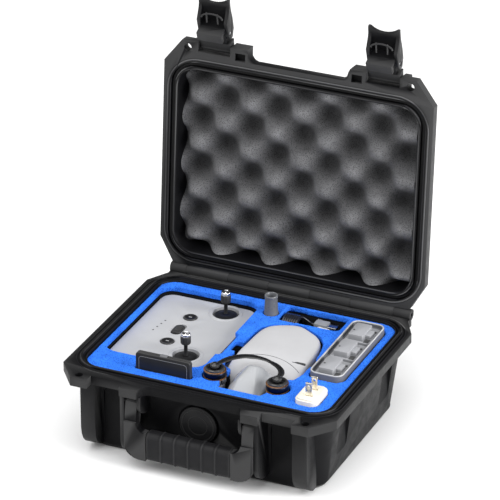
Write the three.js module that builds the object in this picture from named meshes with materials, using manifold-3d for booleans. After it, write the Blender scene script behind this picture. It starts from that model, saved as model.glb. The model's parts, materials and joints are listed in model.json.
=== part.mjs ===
// Hard carrying case for a folding camera drone, standing open, with its foam and the goods it carries.
// Millimetres, +Z up, +Y to the back. The origin is the middle of the base's flat underside.
// Everything is drawn with the lid closed and the latches hanging down, then turned to the open pose.
import * as THREE from 'three';
import { mergeVertices } from 'three/addons/utils/BufferGeometryUtils.js';
import Module from 'manifold-3d';

const wasm = await Module();
wasm.setup();

// ---------- driving dimensions ----------
const GAP = 0.3;                    // clearance between touching pieces
const RIM_Z = 82;                   // parting plane of the base
const LID_Z = RIM_Z + GAP;          // parting plane of the closed lid
const FLANGE = 9;                   // thickness of both rim flanges
const FOAM_Z = 80.7;                // top of the blue foam
const BLUE = 6;                     // thickness of the blue foam sheet
const LID_TOP = 122.5;              // roof of the closed lid
const LID_RIB_TOP = 125.8;          // stacking ribs on the roof

const CAVITY_TOP = [120.5, 92];     // half sizes of the interior at the parting plane
const CAVITY_FLOOR = [113.8, 87.6];
const CAVITY_R = 17;                // corner radius of the interior
const FLOOR = 3;                    // thickness of the base's floor
const WALL_R = 22;                  // corner radius of both halves' outer walls
const CUT = 1;                      // how far a cutting tool runs past a face
const OVERLAP = 0.02;

const HINGE_Y = 111.6;
const HINGE_Z = 84.6;
const HINGE_R = 5.5;
const HINGE_SEAMS = [-123, -106, -62.5, -21, 21, 62.5, 106, 123];
const PIN_R = 1.6;
const BORE_R = 1.9;
const LID_OPEN = 94.3;              // degrees
const LUG_FRONT = 96;               // hinge lugs start inside the rim
const RIM_BACK = HINGE_Y - HINGE_R - GAP; // back edge of both rims, just clear of the knuckles

const LATCH_X = 84.4;               // middle of each latch, either side of the case
const LATCH_HALF = 15.4;
const LINK_HALF = 11.6;
const LATCH_PIVOT = [-115.2, 89.6]; // [y, z] of the link's pin in the lid
const LEVER_PIVOT = [-117.4, 70.6]; // [y, z] of the lever's pin in the link
const LATCH_OPEN = 66;              // degrees that the link is swung out in the open pose

const HANDLE_PIVOT = [-112, 66.8];  // [y, z]
const HANDLE_PIN_R = 2.3;
const HANDLE_BORE_R = 2.6;
const ARM_R = 4.6;                  // round end of each arm
const BAR_FRONT = -121;
const BAR_DEPTH = 8.4;
const BAR_LOW = 12;
const BAR_HIGH = 40;
const ARM_FOOT = 49;                // where the arms leave the bar
const ARM_IN = 52;
const ARM_OUT = 63.4;

const rad = THREE.MathUtils.degToRad;

// ---------- materials ----------
const paint = (color, roughness, metalness = 0) =>
  new THREE.MeshStandardMaterial({ color, roughness, metalness });
const BLACK_SHELL = 0x2b2b2d;
const HARD_BLACK = 0x1c1c1e;
const LIGHT_GREY = 0xc9cacc;
const STEEL = 0xb8babd;

// ---------- solids ----------
function solid(geometry) {
  const bare = geometry.index ? geometry.toNonIndexed() : geometry.clone();
  bare.deleteAttribute('normal');
  bare.deleteAttribute('uv');
  const merged = mergeVertices(bare, 1e-4);
  return new wasm.Manifold(new wasm.Mesh({
    numProp: 3,
    vertProperties: new Float32Array(merged.attributes.position.array),
    triVerts: new Uint32Array(merged.index.array),
  }));
}

function surface(body) {
  const mesh = body.getMesh();
  const geometry = new THREE.BufferGeometry();
  geometry.setAttribute('position', new THREE.BufferAttribute(new Float32Array(mesh.vertProperties), 3));
  geometry.setIndex(new THREE.BufferAttribute(new Uint32Array(mesh.triVerts), 1));
  const flat = geometry.toNonIndexed();
  flat.computeVertexNormals();
  return flat;
}

const join = (...pieces) => pieces.reduce((whole, piece) => whole.add(piece));
const cut = (body, ...tools) => tools.reduce((rest, tool) => rest.subtract(tool), body);

function addNode(parent, name, body, material) {
  const mesh = new THREE.Mesh(surface(body), material);
  mesh.name = name;
  parent.add(mesh);
}

// ---------- outlines and simple solids ----------
function roundRect(left, right, front, back, r) {
  const s = new THREE.Shape();
  s.moveTo(left + r, front);
  s.lineTo(right - r, front);
  s.absarc(right - r, front + r, r, -Math.PI / 2, 0);
  s.lineTo(right, back - r);
  s.absarc(right - r, back - r, r, 0, Math.PI / 2);
  s.lineTo(left + r, back);
  s.absarc(left + r, back - r, r, Math.PI / 2, Math.PI);
  s.lineTo(left, front + r);
  s.absarc(left + r, front + r, r, Math.PI, 1.5 * Math.PI);
  return s;
}

const centred = ([hx, hy], r) => roundRect(-hx, hx, -hy, hy, r);

function circle(x, y, r) {
  const s = new THREE.Shape();
  s.absarc(x, y, r, 0, 2 * Math.PI);
  return s;
}

function polygon(points) {
  return new THREE.Shape(points.map(([a, b]) => new THREE.Vector2(a, b)));
}

// A prism of an outline drawn in x and y.
function prism(outline, low, high, curveSegments = 3) {
  const geometry = new THREE.ExtrudeGeometry(outline, { depth: high - low, bevelEnabled: false,
    curveSegments });
  geometry.translate(0, 0, low);
  return solid(geometry);
}

// A prism along X of an outline drawn in y and z.
function prismX(outline, low, high, curveSegments = 4) {
  const geometry = new THREE.ExtrudeGeometry(outline, { depth: high - low, bevelEnabled: false,
    curveSegments });
  geometry.applyMatrix4(new THREE.Matrix4().makeBasis(
    new THREE.Vector3(0, 1, 0), new THREE.Vector3(0, 0, 1), new THREE.Vector3(1, 0, 0)));
  geometry.translate(low, 0, 0);
  return solid(geometry);
}

// A rounded box whose half sizes change from the bottom to the top.
function frustum(bottom, top, r, low, high, curveSegments = 4) {
  const outline = centred(bottom, r);
  const geometry = new THREE.ExtrudeGeometry(outline, { depth: 1, bevelEnabled: false, curveSegments });
  const position = geometry.attributes.position;
  for (let i = 0; i < position.count; i++) {
    const isTop = position.getZ(i) > 0.5;
    const scaleX = isTop ? top[0] / bottom[0] : 1;
    const scaleY = isTop ? top[1] / bottom[1] : 1;
    position.setXYZ(i, position.getX(i) * scaleX, position.getY(i) * scaleY, isTop ? high : low);
  }
  return solid(geometry);
}

function box(x0, x1, y0, y1, z0, z1) {
  const geometry = new THREE.BoxGeometry(x1 - x0, y1 - y0, z1 - z0);
  geometry.translate((x0 + x1) / 2, (y0 + y1) / 2, (z0 + z1) / 2);
  return solid(geometry);
}

function rodX(x0, x1, [y, z], r, sides = 16) {
  return prismX(circle(y, z, r), x0, x1, sides / 2);
}

// A disc or rod along Y.
function rodY(x, z, y0, y1, r, sides = 16) {
  const geometry = new THREE.CylinderGeometry(r, r, y1 - y0, sides);
  geometry.translate(x, (y0 + y1) / 2, z);
  return solid(geometry);
}

// A turned piece about a vertical axis through (x, y); the profile is [radius, z] pairs.
function turned(x, y, profile, sides = 20) {
  const geometry = new THREE.LatheGeometry(profile.map(([r, z]) => new THREE.Vector2(r, z)), sides);
  geometry.rotateX(Math.PI / 2);
  geometry.translate(x, y, 0);
  return solid(geometry);
}

const mirrored = (make) => join(make(1), make(-1));
const spanX = (side, a, b) => (side > 0 ? [a, b] : [-b, -a]);

// Half size of the base's interior at a height.
function cavityAt(z) {
  const t = (z - FLOOR) / (RIM_Z - FLOOR);
  return CAVITY_TOP.map((top, i) => CAVITY_FLOOR[i] + (top - CAVITY_FLOOR[i]) * t);
}

// ---------- rim ----------
const BLOCK_FRONT = -120;
const RECESS_FRONT = -110.5;
const BLOCK_IN = 51.5;              // block beside each latch, on the handle's side
const RECESS_IN = 68.2;
const RECESS_OUT = 100.6;
const PADLOCK = [111.3, -113];
const PADLOCK_R = 3.8;

// The rim flange: latch recesses between blocks at the front, cut corners, and a straight back.
function flangeOutline() {
  const half = [
    [43, -108], [46.4, -109.6], [48.8, -112.6], [50, BLOCK_FRONT + 3], [BLOCK_IN, BLOCK_FRONT],
    [RECESS_IN, BLOCK_FRONT], [RECESS_IN, RECESS_FRONT], [RECESS_OUT, RECESS_FRONT], [RECESS_OUT,
      BLOCK_FRONT],
    [117, BLOCK_FRONT], [135, -97], [135, 81], [121, RIM_BACK],
  ];
  const left = half.map(([x, y]) => [-x, y]).reverse();
  return polygon([...half, ...left]);
}

const ring = (outer, inner, r, low, high) => cut(
  prism(centred(outer, r), low, high),
  prism(centred(inner, r - outer[0] + inner[0]), low - CUT, high + CUT));

const padlockHoles = (low, high) => mirrored(
  (side) => prism(circle(side * PADLOCK[0], PADLOCK[1], PADLOCK_R), low, high, 6));

// Knuckles of one half of the hinge, with the lugs that carry them.
function knuckles(first, lugLow, lugHigh, front) {
  const pieces = [];
  for (let i = first; i < HINGE_SEAMS.length - 1; i += 2) {
    const x0 = HINGE_SEAMS[i] + GAP / 2;
    const x1 = HINGE_SEAMS[i + 1] - GAP / 2;
    pieces.push(join(rodX(x0, x1, [HINGE_Y, HINGE_Z], HINGE_R, 20), box(x0, x1, front, HINGE_Y, lugLow,
      lugHigh)));
  }
  return join(...pieces);
}

const hingeBore = () => rodX(-122, 130, [HINGE_Y, HINGE_Z], BORE_R, 12);

// ---------- base ----------
const FOOT = [114.5, 90];
const FOOT_R = 20;
const FOOT_HIGH = 4;
const WALL_FOOT = [117.3, 92.8];
const WALL_TOP = [126, 97.5];
const WALL_ROOT = -88;              // front pieces start inside the front wall
const FLANGE_LOW = RIM_Z - FLANGE;
const ROOT_Z = FLANGE_LOW + 1;      // walls and ribs run this far into the flange
const COLUMN = { left: 97.5, right: 112, front: -110 };
const BRACKET = { front: -118, outer: RECESS_IN, inner: 48.4, gap: 0.5 };
const SIDE_SLOT = { y: 50, half: 12, low: 24, high: 60, r: 6, crown: 8, floor: 119.6, outside: 140 };
const PANEL = { x: 82.9, half: 12, low: 12, high: 70, outside: -130, floor: -93.9 };
const BACK_RIBS = [[80, 92], [18, 30]];
const BACK_RIB_Y = [90, 101];
const SEAL_RIB = { outer: [126.6, 98.1], inner: [124.4, 95.9], r: 24, height: 2 };
const SEAL_GROOVE = { outer: [127.6, 99.1], inner: [123.4, 94.9], r: 25, depth: 4.6 };
const ARM_SLOT = { left: 53, right: 62.4, front: -116.2, back: -100 };
const VENT = { z: 47, recessR: 20.4, recessFloor: -94.2, boreR: 6.5, capR: 18.4, stemR: 5.6,
  capFront: -98.6 };

function frontColumn(side) {
  const s = new THREE.Shape();
  s.moveTo(WALL_ROOT, FOOT_HIGH);
  s.lineTo(-95, FOOT_HIGH);
  s.quadraticCurveTo(COLUMN.front + 1, 9, COLUMN.front, 26);
  s.lineTo(COLUMN.front, ROOT_Z);
  s.lineTo(WALL_ROOT, ROOT_Z);
  return prismX(s, ...spanX(side, COLUMN.left, COLUMN.right));
}

// The outer rib of a handle bracket runs nearly to the floor.
function bracketRib(side) {
  const s = new THREE.Shape();
  s.moveTo(WALL_ROOT, 9);
  s.lineTo(-104, 12);
  s.quadraticCurveTo(BRACKET.front + 1, 14, BRACKET.front, 26);
  s.lineTo(BRACKET.front, ROOT_Z);
  s.lineTo(WALL_ROOT, ROOT_Z);
  return prismX(s, ...spanX(side, ARM_OUT + BRACKET.gap, BRACKET.outer));
}

function bracketCheek(side) {
  const s = new THREE.Shape();
  s.moveTo(WALL_ROOT, 50);
  s.lineTo(-100, 52);
  s.quadraticCurveTo(BRACKET.front + 2, 54, BRACKET.front, 64);
  s.lineTo(BRACKET.front, ROOT_Z);
  s.lineTo(WALL_ROOT, ROOT_Z);
  return prismX(s, ...spanX(side, BRACKET.inner, ARM_IN - BRACKET.gap));
}

// A tall slot with a round top, cut into a wall from outside.
function archAlongY(x, half, low, high, y0, y1) {
  return join(box(x - half, x + half, y0, y1, low, high - half), rodY(x, high - half, y0, y1, half, 24));
}

function sideSlot(side, y) {
  const { half, low, high, r, crown } = SIDE_SLOT;
  const s = new THREE.Shape();
  s.moveTo(y - half, high);
  s.lineTo(y - half, low + r);
  s.quadraticCurveTo(y - half, low, y - half + r, low);
  s.lineTo(y + half - r, low);
  s.quadraticCurveTo(y + half, low, y + half, low + r);
  s.lineTo(y + half, high);
  s.quadraticCurveTo(y, high + crown, y - half, high);
  return prismX(s, ...spanX(side, SIDE_SLOT.floor, SIDE_SLOT.outside), 4);
}

function baseShell() {
  const backRib = ([x0, x1]) =>
    mirrored((side) => box(...spanX(side, x0, x1), ...BACK_RIB_Y, FLOOR, ROOT_Z));
  const body = join(
    frustum(FOOT, WALL_FOOT, FOOT_R, 0, FOOT_HIGH),
    frustum(WALL_FOOT, WALL_TOP, WALL_R, FOOT_HIGH, ROOT_Z),
    prism(flangeOutline(), FLANGE_LOW, RIM_Z),
    mirrored(frontColumn),
    mirrored(bracketRib),
    mirrored(bracketCheek),
    knuckles(0, FLANGE_LOW, RIM_Z, LUG_FRONT),
    ring(SEAL_RIB.outer, SEAL_RIB.inner, SEAL_RIB.r, RIM_Z - CUT, RIM_Z + SEAL_RIB.height),
    ...BACK_RIBS.map(backRib),
  );
  const panel = (side) => archAlongY(
    side * PANEL.x, PANEL.half, PANEL.low, PANEL.high, PANEL.outside, PANEL.floor);
  const armSlot = (side) => box(
    ...spanX(side, ARM_SLOT.left, ARM_SLOT.right), ARM_SLOT.front, ARM_SLOT.back, FLANGE_LOW - CUT,
      FLANGE_LOW + 5);
  return cut(
    body,
    frustum(CAVITY_FLOOR, CAVITY_TOP, CAVITY_R, FLOOR, RIM_Z + OVERLAP),
    mirrored(panel),
    mirrored((side) => sideSlot(side, -SIDE_SLOT.y)),
    mirrored((side) => sideSlot(side, SIDE_SLOT.y)),
    rodY(0, VENT.z, BLOCK_FRONT, VENT.recessFloor, VENT.recessR, 36),
    rodY(0, VENT.z, BLOCK_FRONT, -80, VENT.boreR),
    padlockHoles(FLANGE_LOW - CUT, RIM_Z + CUT),
    hingeBore(),
    mirrored((side) => rodX(...spanX(side, 49.6, 66.8), HANDLE_PIVOT, HANDLE_BORE_R)),
    mirrored(armSlot),
  );
}

function ventCap() {
  return join(
    rodY(0, VENT.z, VENT.capFront, VENT.capFront + 3.2, VENT.capR, 36),
    rodY(0, VENT.z, VENT.capFront + 2.6, -91, VENT.stemR));
}

const ventSeal = () => cut(rodY(0, VENT.z, -95.1, -94.5, 16, 24), rodY(0, VENT.z, -96, -94, 8));

function handle() {
  const [py, pz] = HANDLE_PIVOT;
  const arm = (side) => {
    const s = new THREE.Shape();
    s.moveTo(py + ARM_R, pz);
    s.absarc(py, pz, ARM_R, 0, Math.PI);
    s.lineTo(py - 6, pz - 10);
    s.lineTo(py - 8, 30);
    s.lineTo(py - 1, 30);
    s.lineTo(py + ARM_R, pz - 8);
    return prismX(s, ...spanX(side, ARM_IN, ARM_OUT), 8);
  };
  const grip = new THREE.Shape();
  grip.moveTo(-44, BAR_HIGH);
  grip.lineTo(44, BAR_HIGH);
  grip.quadraticCurveTo(50, BAR_HIGH + 1, ARM_IN + 0.1, ARM_FOOT);
  grip.lineTo(ARM_OUT, ARM_FOOT);
  grip.lineTo(ARM_OUT, 24);
  grip.quadraticCurveTo(ARM_OUT - 2, BAR_LOW + 2, ARM_OUT - 14, BAR_LOW);
  grip.lineTo(-ARM_OUT + 14, BAR_LOW);
  grip.quadraticCurveTo(-ARM_OUT + 2, BAR_LOW + 2, -ARM_OUT, 24);
  grip.lineTo(-ARM_OUT, ARM_FOOT);
  grip.lineTo(-ARM_IN - 0.1, ARM_FOOT);
  grip.quadraticCurveTo(-50, BAR_HIGH + 1, -44, BAR_HIGH);
  const geometry = new THREE.ExtrudeGeometry(grip, { depth: BAR_DEPTH, bevelEnabled: false,
    curveSegments: 5 });
  geometry.rotateX(Math.PI / 2);
  geometry.translate(0, BAR_FRONT + BAR_DEPTH, 0);
  const frame = join(mirrored(arm), solid(geometry));
  const bores = mirrored((side) =>
    rodX(...spanX(side, ARM_IN - 3, ARM_OUT + 3), HANDLE_PIVOT, HANDLE_BORE_R));
  return cut(frame, bores, gripSleeveSpace());
}

const GRIP = { front: -121.4, back: -106.6, low: 11.4, high: 40.6, r: 5, half: 42 };
const CORE = [-118.2, -109.8, 16, 36];

// The soft grip is a sleeve moulded round the bar.
function gripOutline(offset) {
  const s = new THREE.Shape();
  const front = GRIP.front - offset;
  const back = GRIP.back + offset;
  const low = GRIP.low - offset;
  const high = GRIP.high + offset;
  const { r } = GRIP;
  s.moveTo(front + r, low);
  s.lineTo(back - r, low);
  s.quadraticCurveTo(back, low, back, low + r);
  s.lineTo(back, high - r);
  s.quadraticCurveTo(back, high, back - r, high);
  s.lineTo(front + r, high);
  s.quadraticCurveTo(front, high, front, high - r);
  s.lineTo(front, low + r);
  s.quadraticCurveTo(front, low, front + r, low);
  return s;
}

const gripCore = (offset) =>
  box(-60, 60, CORE[0] - offset, CORE[1] + offset, CORE[2] - offset, CORE[3] + offset);
const gripSleeveSpace = () => cut(prismX(gripOutline(1), -GRIP.half, GRIP.half), gripCore(0));
const handleGrip = () => cut(prismX(gripOutline(0), GAP - GRIP.half, GRIP.half - GAP), gripCore(GAP));

// ---------- foam and its pockets ----------
const CONTROLLER = { left: -114.4, right: -18, front: -55, back: 80, top: FOAM_Z - 8, bottom: FOAM_Z - 40 };
const HUB = { left: 78, right: 111, front: -30, back: 80, top: FOAM_Z + 5, bottom: FOAM_Z - 57 };
const CHARGER = { left: 85.5, right: 107.5, front: -80, back: -48, top: FOAM_Z + 5, bottom: FOAM_Z - 24 };
const CARD_CASE = { left: -71.5, right: -17, front: -77.5, back: -72, top: FOAM_Z + 16,
  bottom: FOAM_Z - 28 };
const TUBE = { x: -1.5, y: 70, r: 6.8, top: FOAM_Z + 18.6, bottom: FOAM_Z - 26 };
const CABLE_POCKET = { left: 8, right: 28.5, front: 60, back: 89, bottom: FOAM_Z - 29 };
const PLUG_POCKET = { left: 26, right: 70, front: 61, back: 88.5, bottom: FOAM_Z - 14 };
const DRONE_BOTTOM = FOAM_Z - 60;
const MOTORS = [[0, -60.5], [62, -61.5]];
const MOTOR_R = 10.4;
const MOTOR_TOP = FOAM_Z + 8;
const NOTCH_FLOOR = FOAM_Z - 30;
const FOAM_R = 16.5;
const FOAM_INSET = 0.5;

const rectOf = (b, grow, r) => roundRect(b.left - grow, b.right + grow, b.front - grow, b.back + grow, r);

// Plan of the folded drone's body: a rounded tail at the back and a narrower nose at the front.
const DRONE_PLAN = [
  [12, -79], [52, -79], [55, -72], [55, -44], [68, -40], [71, -28], [71, 4], [69, 20], [65.5, 34],
  [59, 43.5], [50, 49], [38, 56], [28, 56.4], [10, 49], [4, 42], [1, 29], [0, -3], [-3, -28],
  [1, -40], [10, -44], [10, -72],
];

function offsetPlan(points, distance) {
  const n = points.length;
  return points.map(([x, y], i) => {
    const [ax, ay] = points[(i + n - 1) % n];
    const [bx, by] = points[(i + 1) % n];
    const first = new THREE.Vector2(y - ay, ax - x).normalize();
    const second = new THREE.Vector2(by - y, x - bx).normalize();
    const normal = first.clone().add(second).normalize();
    const reach = distance / Math.max(0.5, normal.dot(second));
    return [x + normal.x * reach, y + normal.y * reach];
  });
}

// Every pocket is a plan outline, the height of its floor and, where it is round, its curve segments.
function pockets() {
  const list = [
    [rectOf(CONTROLLER, 1.6, 13), CONTROLLER.bottom],
    [roundRect(-22, -11.5, -24, 20, 3), CONTROLLER.bottom + 10],
    [rectOf(HUB, 1, 9), HUB.bottom],
    [rectOf(CHARGER, 0.6, 7), CHARGER.bottom],
    [rectOf(CARD_CASE, 0.8, 1), CARD_CASE.bottom],
    [rectOf(CABLE_POCKET, 0, 2.5), CABLE_POCKET.bottom],
    [rectOf(PLUG_POCKET, 0, 4), PLUG_POCKET.bottom],
    [circle(TUBE.x, TUBE.y, TUBE.r + 0.8), TUBE.bottom, 8],
    [polygon(offsetPlan(DRONE_PLAN, 1.2)), DRONE_BOTTOM],
    [roundRect(60, 78, -12, 2, 3), NOTCH_FLOOR],
    [roundRect(-9, 2, -12, 6, 2.5), NOTCH_FLOOR],
  ];
  for (const [x, y] of MOTORS) list.push([circle(x, y, MOTOR_R + 1.4), FOAM_Z - 44, 10]);
  return list.map(([outline, floor, curveSegments]) =>
    prism(outline, floor - GAP, FOAM_Z + 10, curveSegments));
}

function foamBlock(low, high) {
  const shrink = (z) => cavityAt(z).map((half) => half - FOAM_INSET);
  return cut(frustum(shrink(low), shrink(high), FOAM_R, low, high), ...pockets());
}

// ---------- lid ----------
const LATCH_BLOCK = { back: -96, high: 97, outer: PADLOCK[0] - PADLOCK_R - 0.5 };
const LID_WALL = { low: [125, 97], shoulder: [121, 93.5], roof: [116.5, 89], edge: 4 };
const LID_CAVITY_ROOF = [116, 88.5];
const LID_ROOF = 3.2;               // thickness of the lid's roof
const LID_RIB = { half: 104, y: 55, width: 8, r: 4 };
const ARM_POCKET = { left: 53, right: 63.5, front: -115.4, back: -107.8, depth: 5 };

function latchBlocks(side) {
  const { back, high, outer } = LATCH_BLOCK;
  return join(
    box(...spanX(side, BLOCK_IN, RECESS_IN), BLOCK_FRONT, back, LID_Z, high),
    box(...spanX(side, RECESS_OUT, outer), BLOCK_FRONT, back, LID_Z, high));
}

function lidShell() {
  const { left, right, front, back, depth } = ARM_POCKET;
  const pocket = (side) => box(...spanX(side, left, right), front, back, LID_Z - CUT, LID_Z + depth);
  const rib = (y) => prism(
    roundRect(-LID_RIB.half, LID_RIB.half, y - LID_RIB.width, y + LID_RIB.width, LID_RIB.r),
    LID_TOP - LID_ROOF + OVERLAP, LID_RIB_TOP, 3);
  const shoulder = LID_TOP - LID_WALL.edge;
  const body = join(
    prism(flangeOutline(), LID_Z, LID_Z + FLANGE),
    frustum(LID_WALL.low, LID_WALL.shoulder, WALL_R, LID_Z + FLANGE - CUT, shoulder),
    frustum(LID_WALL.shoulder, LID_WALL.roof, WALL_R, shoulder, LID_TOP),
    rib(-LID_RIB.y),
    rib(LID_RIB.y),
    mirrored(latchBlocks),
    knuckles(1, LID_Z, LID_Z + FLANGE - 2, LUG_FRONT),
  );
  return cut(
    body,
    frustum(CAVITY_TOP, LID_CAVITY_ROOF, CAVITY_R, LID_Z - OVERLAP, LID_TOP - LID_ROOF),
    ring(SEAL_GROOVE.outer, SEAL_GROOVE.inner, SEAL_GROOVE.r, LID_Z - CUT, LID_Z + SEAL_GROOVE.depth),
    mirrored(pocket),
    padlockHoles(LID_Z - CUT, LID_Z + 30),
    hingeBore(),
    mirrored((side) => rodX(...spanX(side, 63.5, 105.5), LATCH_PIVOT, BORE_R, 12)),
  );
}

const lidGasket = () =>
  ring([126.8, 98.3], [124.2, 95.7], 24.2, LID_Z + SEAL_RIB.height + 0.1, LID_Z + SEAL_GROOVE.depth - GAP);
const lidFoam = () => frustum([119.8, 91.3], [115.8, 88.3], FOAM_R, LID_Z + 1.5, LID_TOP - 3.6);

// ---------- latch ----------
const BARREL_R = 3.4;
const EYE_R = 3.9;
const LEVER_LOW = 38;
const LEVER_BITE_R = 22;
const LATCH_BORE = [60, 110];       // the bores run past both cheeks
const CHEEK_GAP = GAP + 0.2;

// The link is a block on the lid's pin, narrowed to a plate and a barrel that carry the lever.
function latchLink(side) {
  const [ay, az] = LATCH_PIVOT;
  const [by, bz] = LEVER_PIVOT;
  const blockLow = bz + 10.4;
  const plate = polygon([[by + 0.9, bz], [by + 3.4, bz], [ay + 3, az], [ay - 1, az]]);
  const block = polygon([[ay + 3.2, blockLow], [ay + 3.6, az], [ay - 3.8, az + 1], [by - 4.6, blockLow]]);
  const span = spanX(side, LATCH_X - LINK_HALF, LATCH_X + LINK_HALF);
  const wide = spanX(side, LATCH_X - LATCH_HALF, LATCH_X + LATCH_HALF);
  const body = join(
    rodX(...wide, LATCH_PIVOT, EYE_R), prismX(block, ...wide),
    rodX(...span, LEVER_PIVOT, BARREL_R), prismX(plate, ...span));
  return cut(body, rodX(...spanX(side, ...LATCH_BORE), LATCH_PIVOT, BORE_R, 12),
    rodX(...spanX(side, ...LATCH_BORE), LEVER_PIVOT, BORE_R, 12));
}

// The lever is a hollow cover below the link: a skin, two cheeks on the lever's pin, and a claw that hooks
// under the base's flange.
function latchLever(side) {
  const [py, pz] = LEVER_PIVOT;
  const low = LEVER_LOW;
  const skin = new THREE.Shape();
  skin.moveTo(py - 4.1, pz + 0.5);
  skin.lineTo(py - 7.6, pz + 0.5);
  skin.quadraticCurveTo(py - 9.4, pz - 12, py - 8.6, low + 14);
  skin.quadraticCurveTo(py - 8.4, low + 6, py - 10.4, low);
  skin.lineTo(py - 7.8, low);
  skin.quadraticCurveTo(py - 5.6, low + 6, py - 5.8, low + 14);
  skin.quadraticCurveTo(py - 5.8, pz - 12, py - 4.1, pz + 0.5);
  const cheek = polygon([
    [py - 7.4, pz], [py - 8.2, pz - 8], [py - 8.4, low + 12], [py - 9.4, low + 1], [py - 4, low + 10],
    [py + 3.8, pz - 14], [py + 4.4, pz], [py + 1.5, pz + 6.4], [py - 3.2, pz + 6.4],
  ]);
  const outer = spanX(side, LATCH_X + LINK_HALF + CHEEK_GAP, LATCH_X + LATCH_HALF);
  const inner = spanX(side, LATCH_X - LATCH_HALF, LATCH_X - LINK_HALF - CHEEK_GAP);
  const claw = polygon([
    [py - 6, 63.4], [py + 4, 62.6], [-103.6, 63.6], [-103.6, FLANGE_LOW - 0.4], [-107.4, FLANGE_LOW - 0.4],
    [-108.4, 66.6], [py + 4.2, 65.4], [py - 6, 66],
  ]);
  const wide = spanX(side, LATCH_X - LATCH_HALF, LATCH_X + LATCH_HALF);
  const body = join(
    prismX(skin, ...wide),
    prismX(cheek, ...outer),
    prismX(cheek, ...inner),
    prismX(claw, ...spanX(side, LATCH_X - LINK_HALF - 1, LATCH_X + LINK_HALF + 1)));
  const bite = new THREE.CylinderGeometry(LEVER_BITE_R, LEVER_BITE_R, 40, 40);
  bite.translate(side * LATCH_X, py - 8, low + 4.5 - LEVER_BITE_R);
  return cut(body, rodX(...spanX(side, ...LATCH_BORE), LEVER_PIVOT, BORE_R, 12), solid(bite));
}

// ---------- controller ----------
const STICKS = [[-45.5, 64.5], [-45.5, -25]];
const BUTTONS = [[-72.6, 44], [-72.6, -7]];
const MODE_SWITCH = [-73, 18.5];
const STICK_PIVOT_Z = CONTROLLER.top - 2;
const FRONT_DEEP = 15;              // depth of the controller's front half
const WELL_R = 12.8;
const BUTTON_WELL_R = 6.9;
const KNOB_R = 4.6;
const KNOB_HEIGHT = 23;

function controllerShell(low, high) {
  return prism(rectOf(CONTROLLER, 0, 12), low, high);
}

function controllerFront() {
  const top = CONTROLLER.top;
  const [sx, sy] = MODE_SWITCH;
  return cut(
    controllerShell(top - FRONT_DEEP, top),
    ...STICKS.map(([x, y]) => prism(circle(x, y, WELL_R), top - 9, top + CUT, 10)),
    ...BUTTONS.map(([x, y]) => prism(circle(x, y, BUTTON_WELL_R), top - 5, top + CUT, 8)),
    prism(roundRect(sx - 5.2, sx + 5.2, sy - 10.5, sy + 10.5, 4.5), top - 4, top + CUT));
}

const controllerBack = () => controllerShell(CONTROLLER.bottom, CONTROLLER.top - FRONT_DEEP - GAP);

// A shallow dome that closes the well round a stick.
function stickDome([x, y]) {
  const z = STICK_PIVOT_Z;
  return turned(x, y, [[0, z - 4], [6, z - 4], [10.6, z - 1.6], [11.6, z], [9, z + 0.9], [4, z + 1.1],
    [0, z + 1.1]]);
}

function stickKnob([x, y]) {
  const z = STICK_PIVOT_Z + 2.1;
  const top = z + KNOB_HEIGHT;
  return turned(x, y, [
    [0, z], [1.9, z], [1.9, top - 12.5], [KNOB_R, top - 10], [KNOB_R, top - 1.5], [KNOB_R - 0.6, top],
      [0, top]], 16);
}

const roundButton = ([x, y]) => turned(x, y,
  [[0, CONTROLLER.top - 3.6], [6.4, CONTROLLER.top - 3.6], [6.4, CONTROLLER.top + 0.2], [5.8,
    CONTROLLER.top + 0.8],
    [0, CONTROLLER.top + 0.8]], 16);

function modeSwitch() {
  const [x, y] = MODE_SWITCH;
  return prism(roundRect(x - 4.6, x + 4.6, y - 7.6, y + 7.6, 4), CONTROLLER.top - 3.6, CONTROLLER.top + 1.2);
}

// ---------- drone ----------
const SHELL_FRONT = -34;

function droneBody() {
  const whole = prism(polygon(offsetPlan(DRONE_PLAN, -1.5)), DRONE_BOTTOM + 0.4, FOAM_Z - 3);
  const crown = prism(polygon(offsetPlan(DRONE_PLAN, -6)), FOAM_Z - 6, FOAM_Z);
  return cut(
    join(whole, crown),
    box(-20, 90, -100, SHELL_FRONT, NOTCH_FLOOR, FOAM_Z + 10),
    ...MOTORS.map(([x, y]) => prism(circle(x, y, MOTOR_R + 1.8), FOAM_Z - 44, FOAM_Z + 20, 10)));
}

// Clip-on cover over the camera, with a sloping faceted front.
function gimbalCover() {
  const s = polygon([
    [-78, FOAM_Z - 29], [SHELL_FRONT - 0.6, FOAM_Z - 29], [SHELL_FRONT - 0.6, FOAM_Z + 4], [-44, FOAM_Z + 8],
    [-64, FOAM_Z], [-76, FOAM_Z - 12],
  ]);
  return prismX(s, 14, 48);
}

function droneMotor([x, y]) {
  return turned(x, y, [[0, FOAM_Z - 42], [MOTOR_R - 1, FOAM_Z - 42], [MOTOR_R - 1, FOAM_Z - 4],
    [MOTOR_R, FOAM_Z - 3.7],
    [MOTOR_R, MOTOR_TOP - 1], [MOTOR_R - 1.5, MOTOR_TOP], [0, MOTOR_TOP]]);
}

// Folded propeller: a hub on the motor with two blades laid back over the nose.
function foldedPropeller([x, y], reach) {
  const low = MOTOR_TOP + GAP;
  const s = new THREE.Shape();
  const dx = reach[0] - x;
  const dy = reach[1] - y;
  const length = Math.hypot(dx, dy);
  const nx = -dy / length;
  const ny = dx / length;
  const at = (along, side) => [x + dx * along + nx * side, y + dy * along + ny * side];
  s.moveTo(...at(0, -4));
  s.quadraticCurveTo(...at(0.5, -9), ...at(1, -1.5));
  s.lineTo(...at(1, 1.5));
  s.quadraticCurveTo(...at(0.5, 6), ...at(0, 4));
  return join(prism(s, low + 1, low + 3, 6), turned(x, y, [[0, low], [4.4, low], [4.4, low + 4.5], [0,
    low + 4.5]], 12));
}

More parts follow.
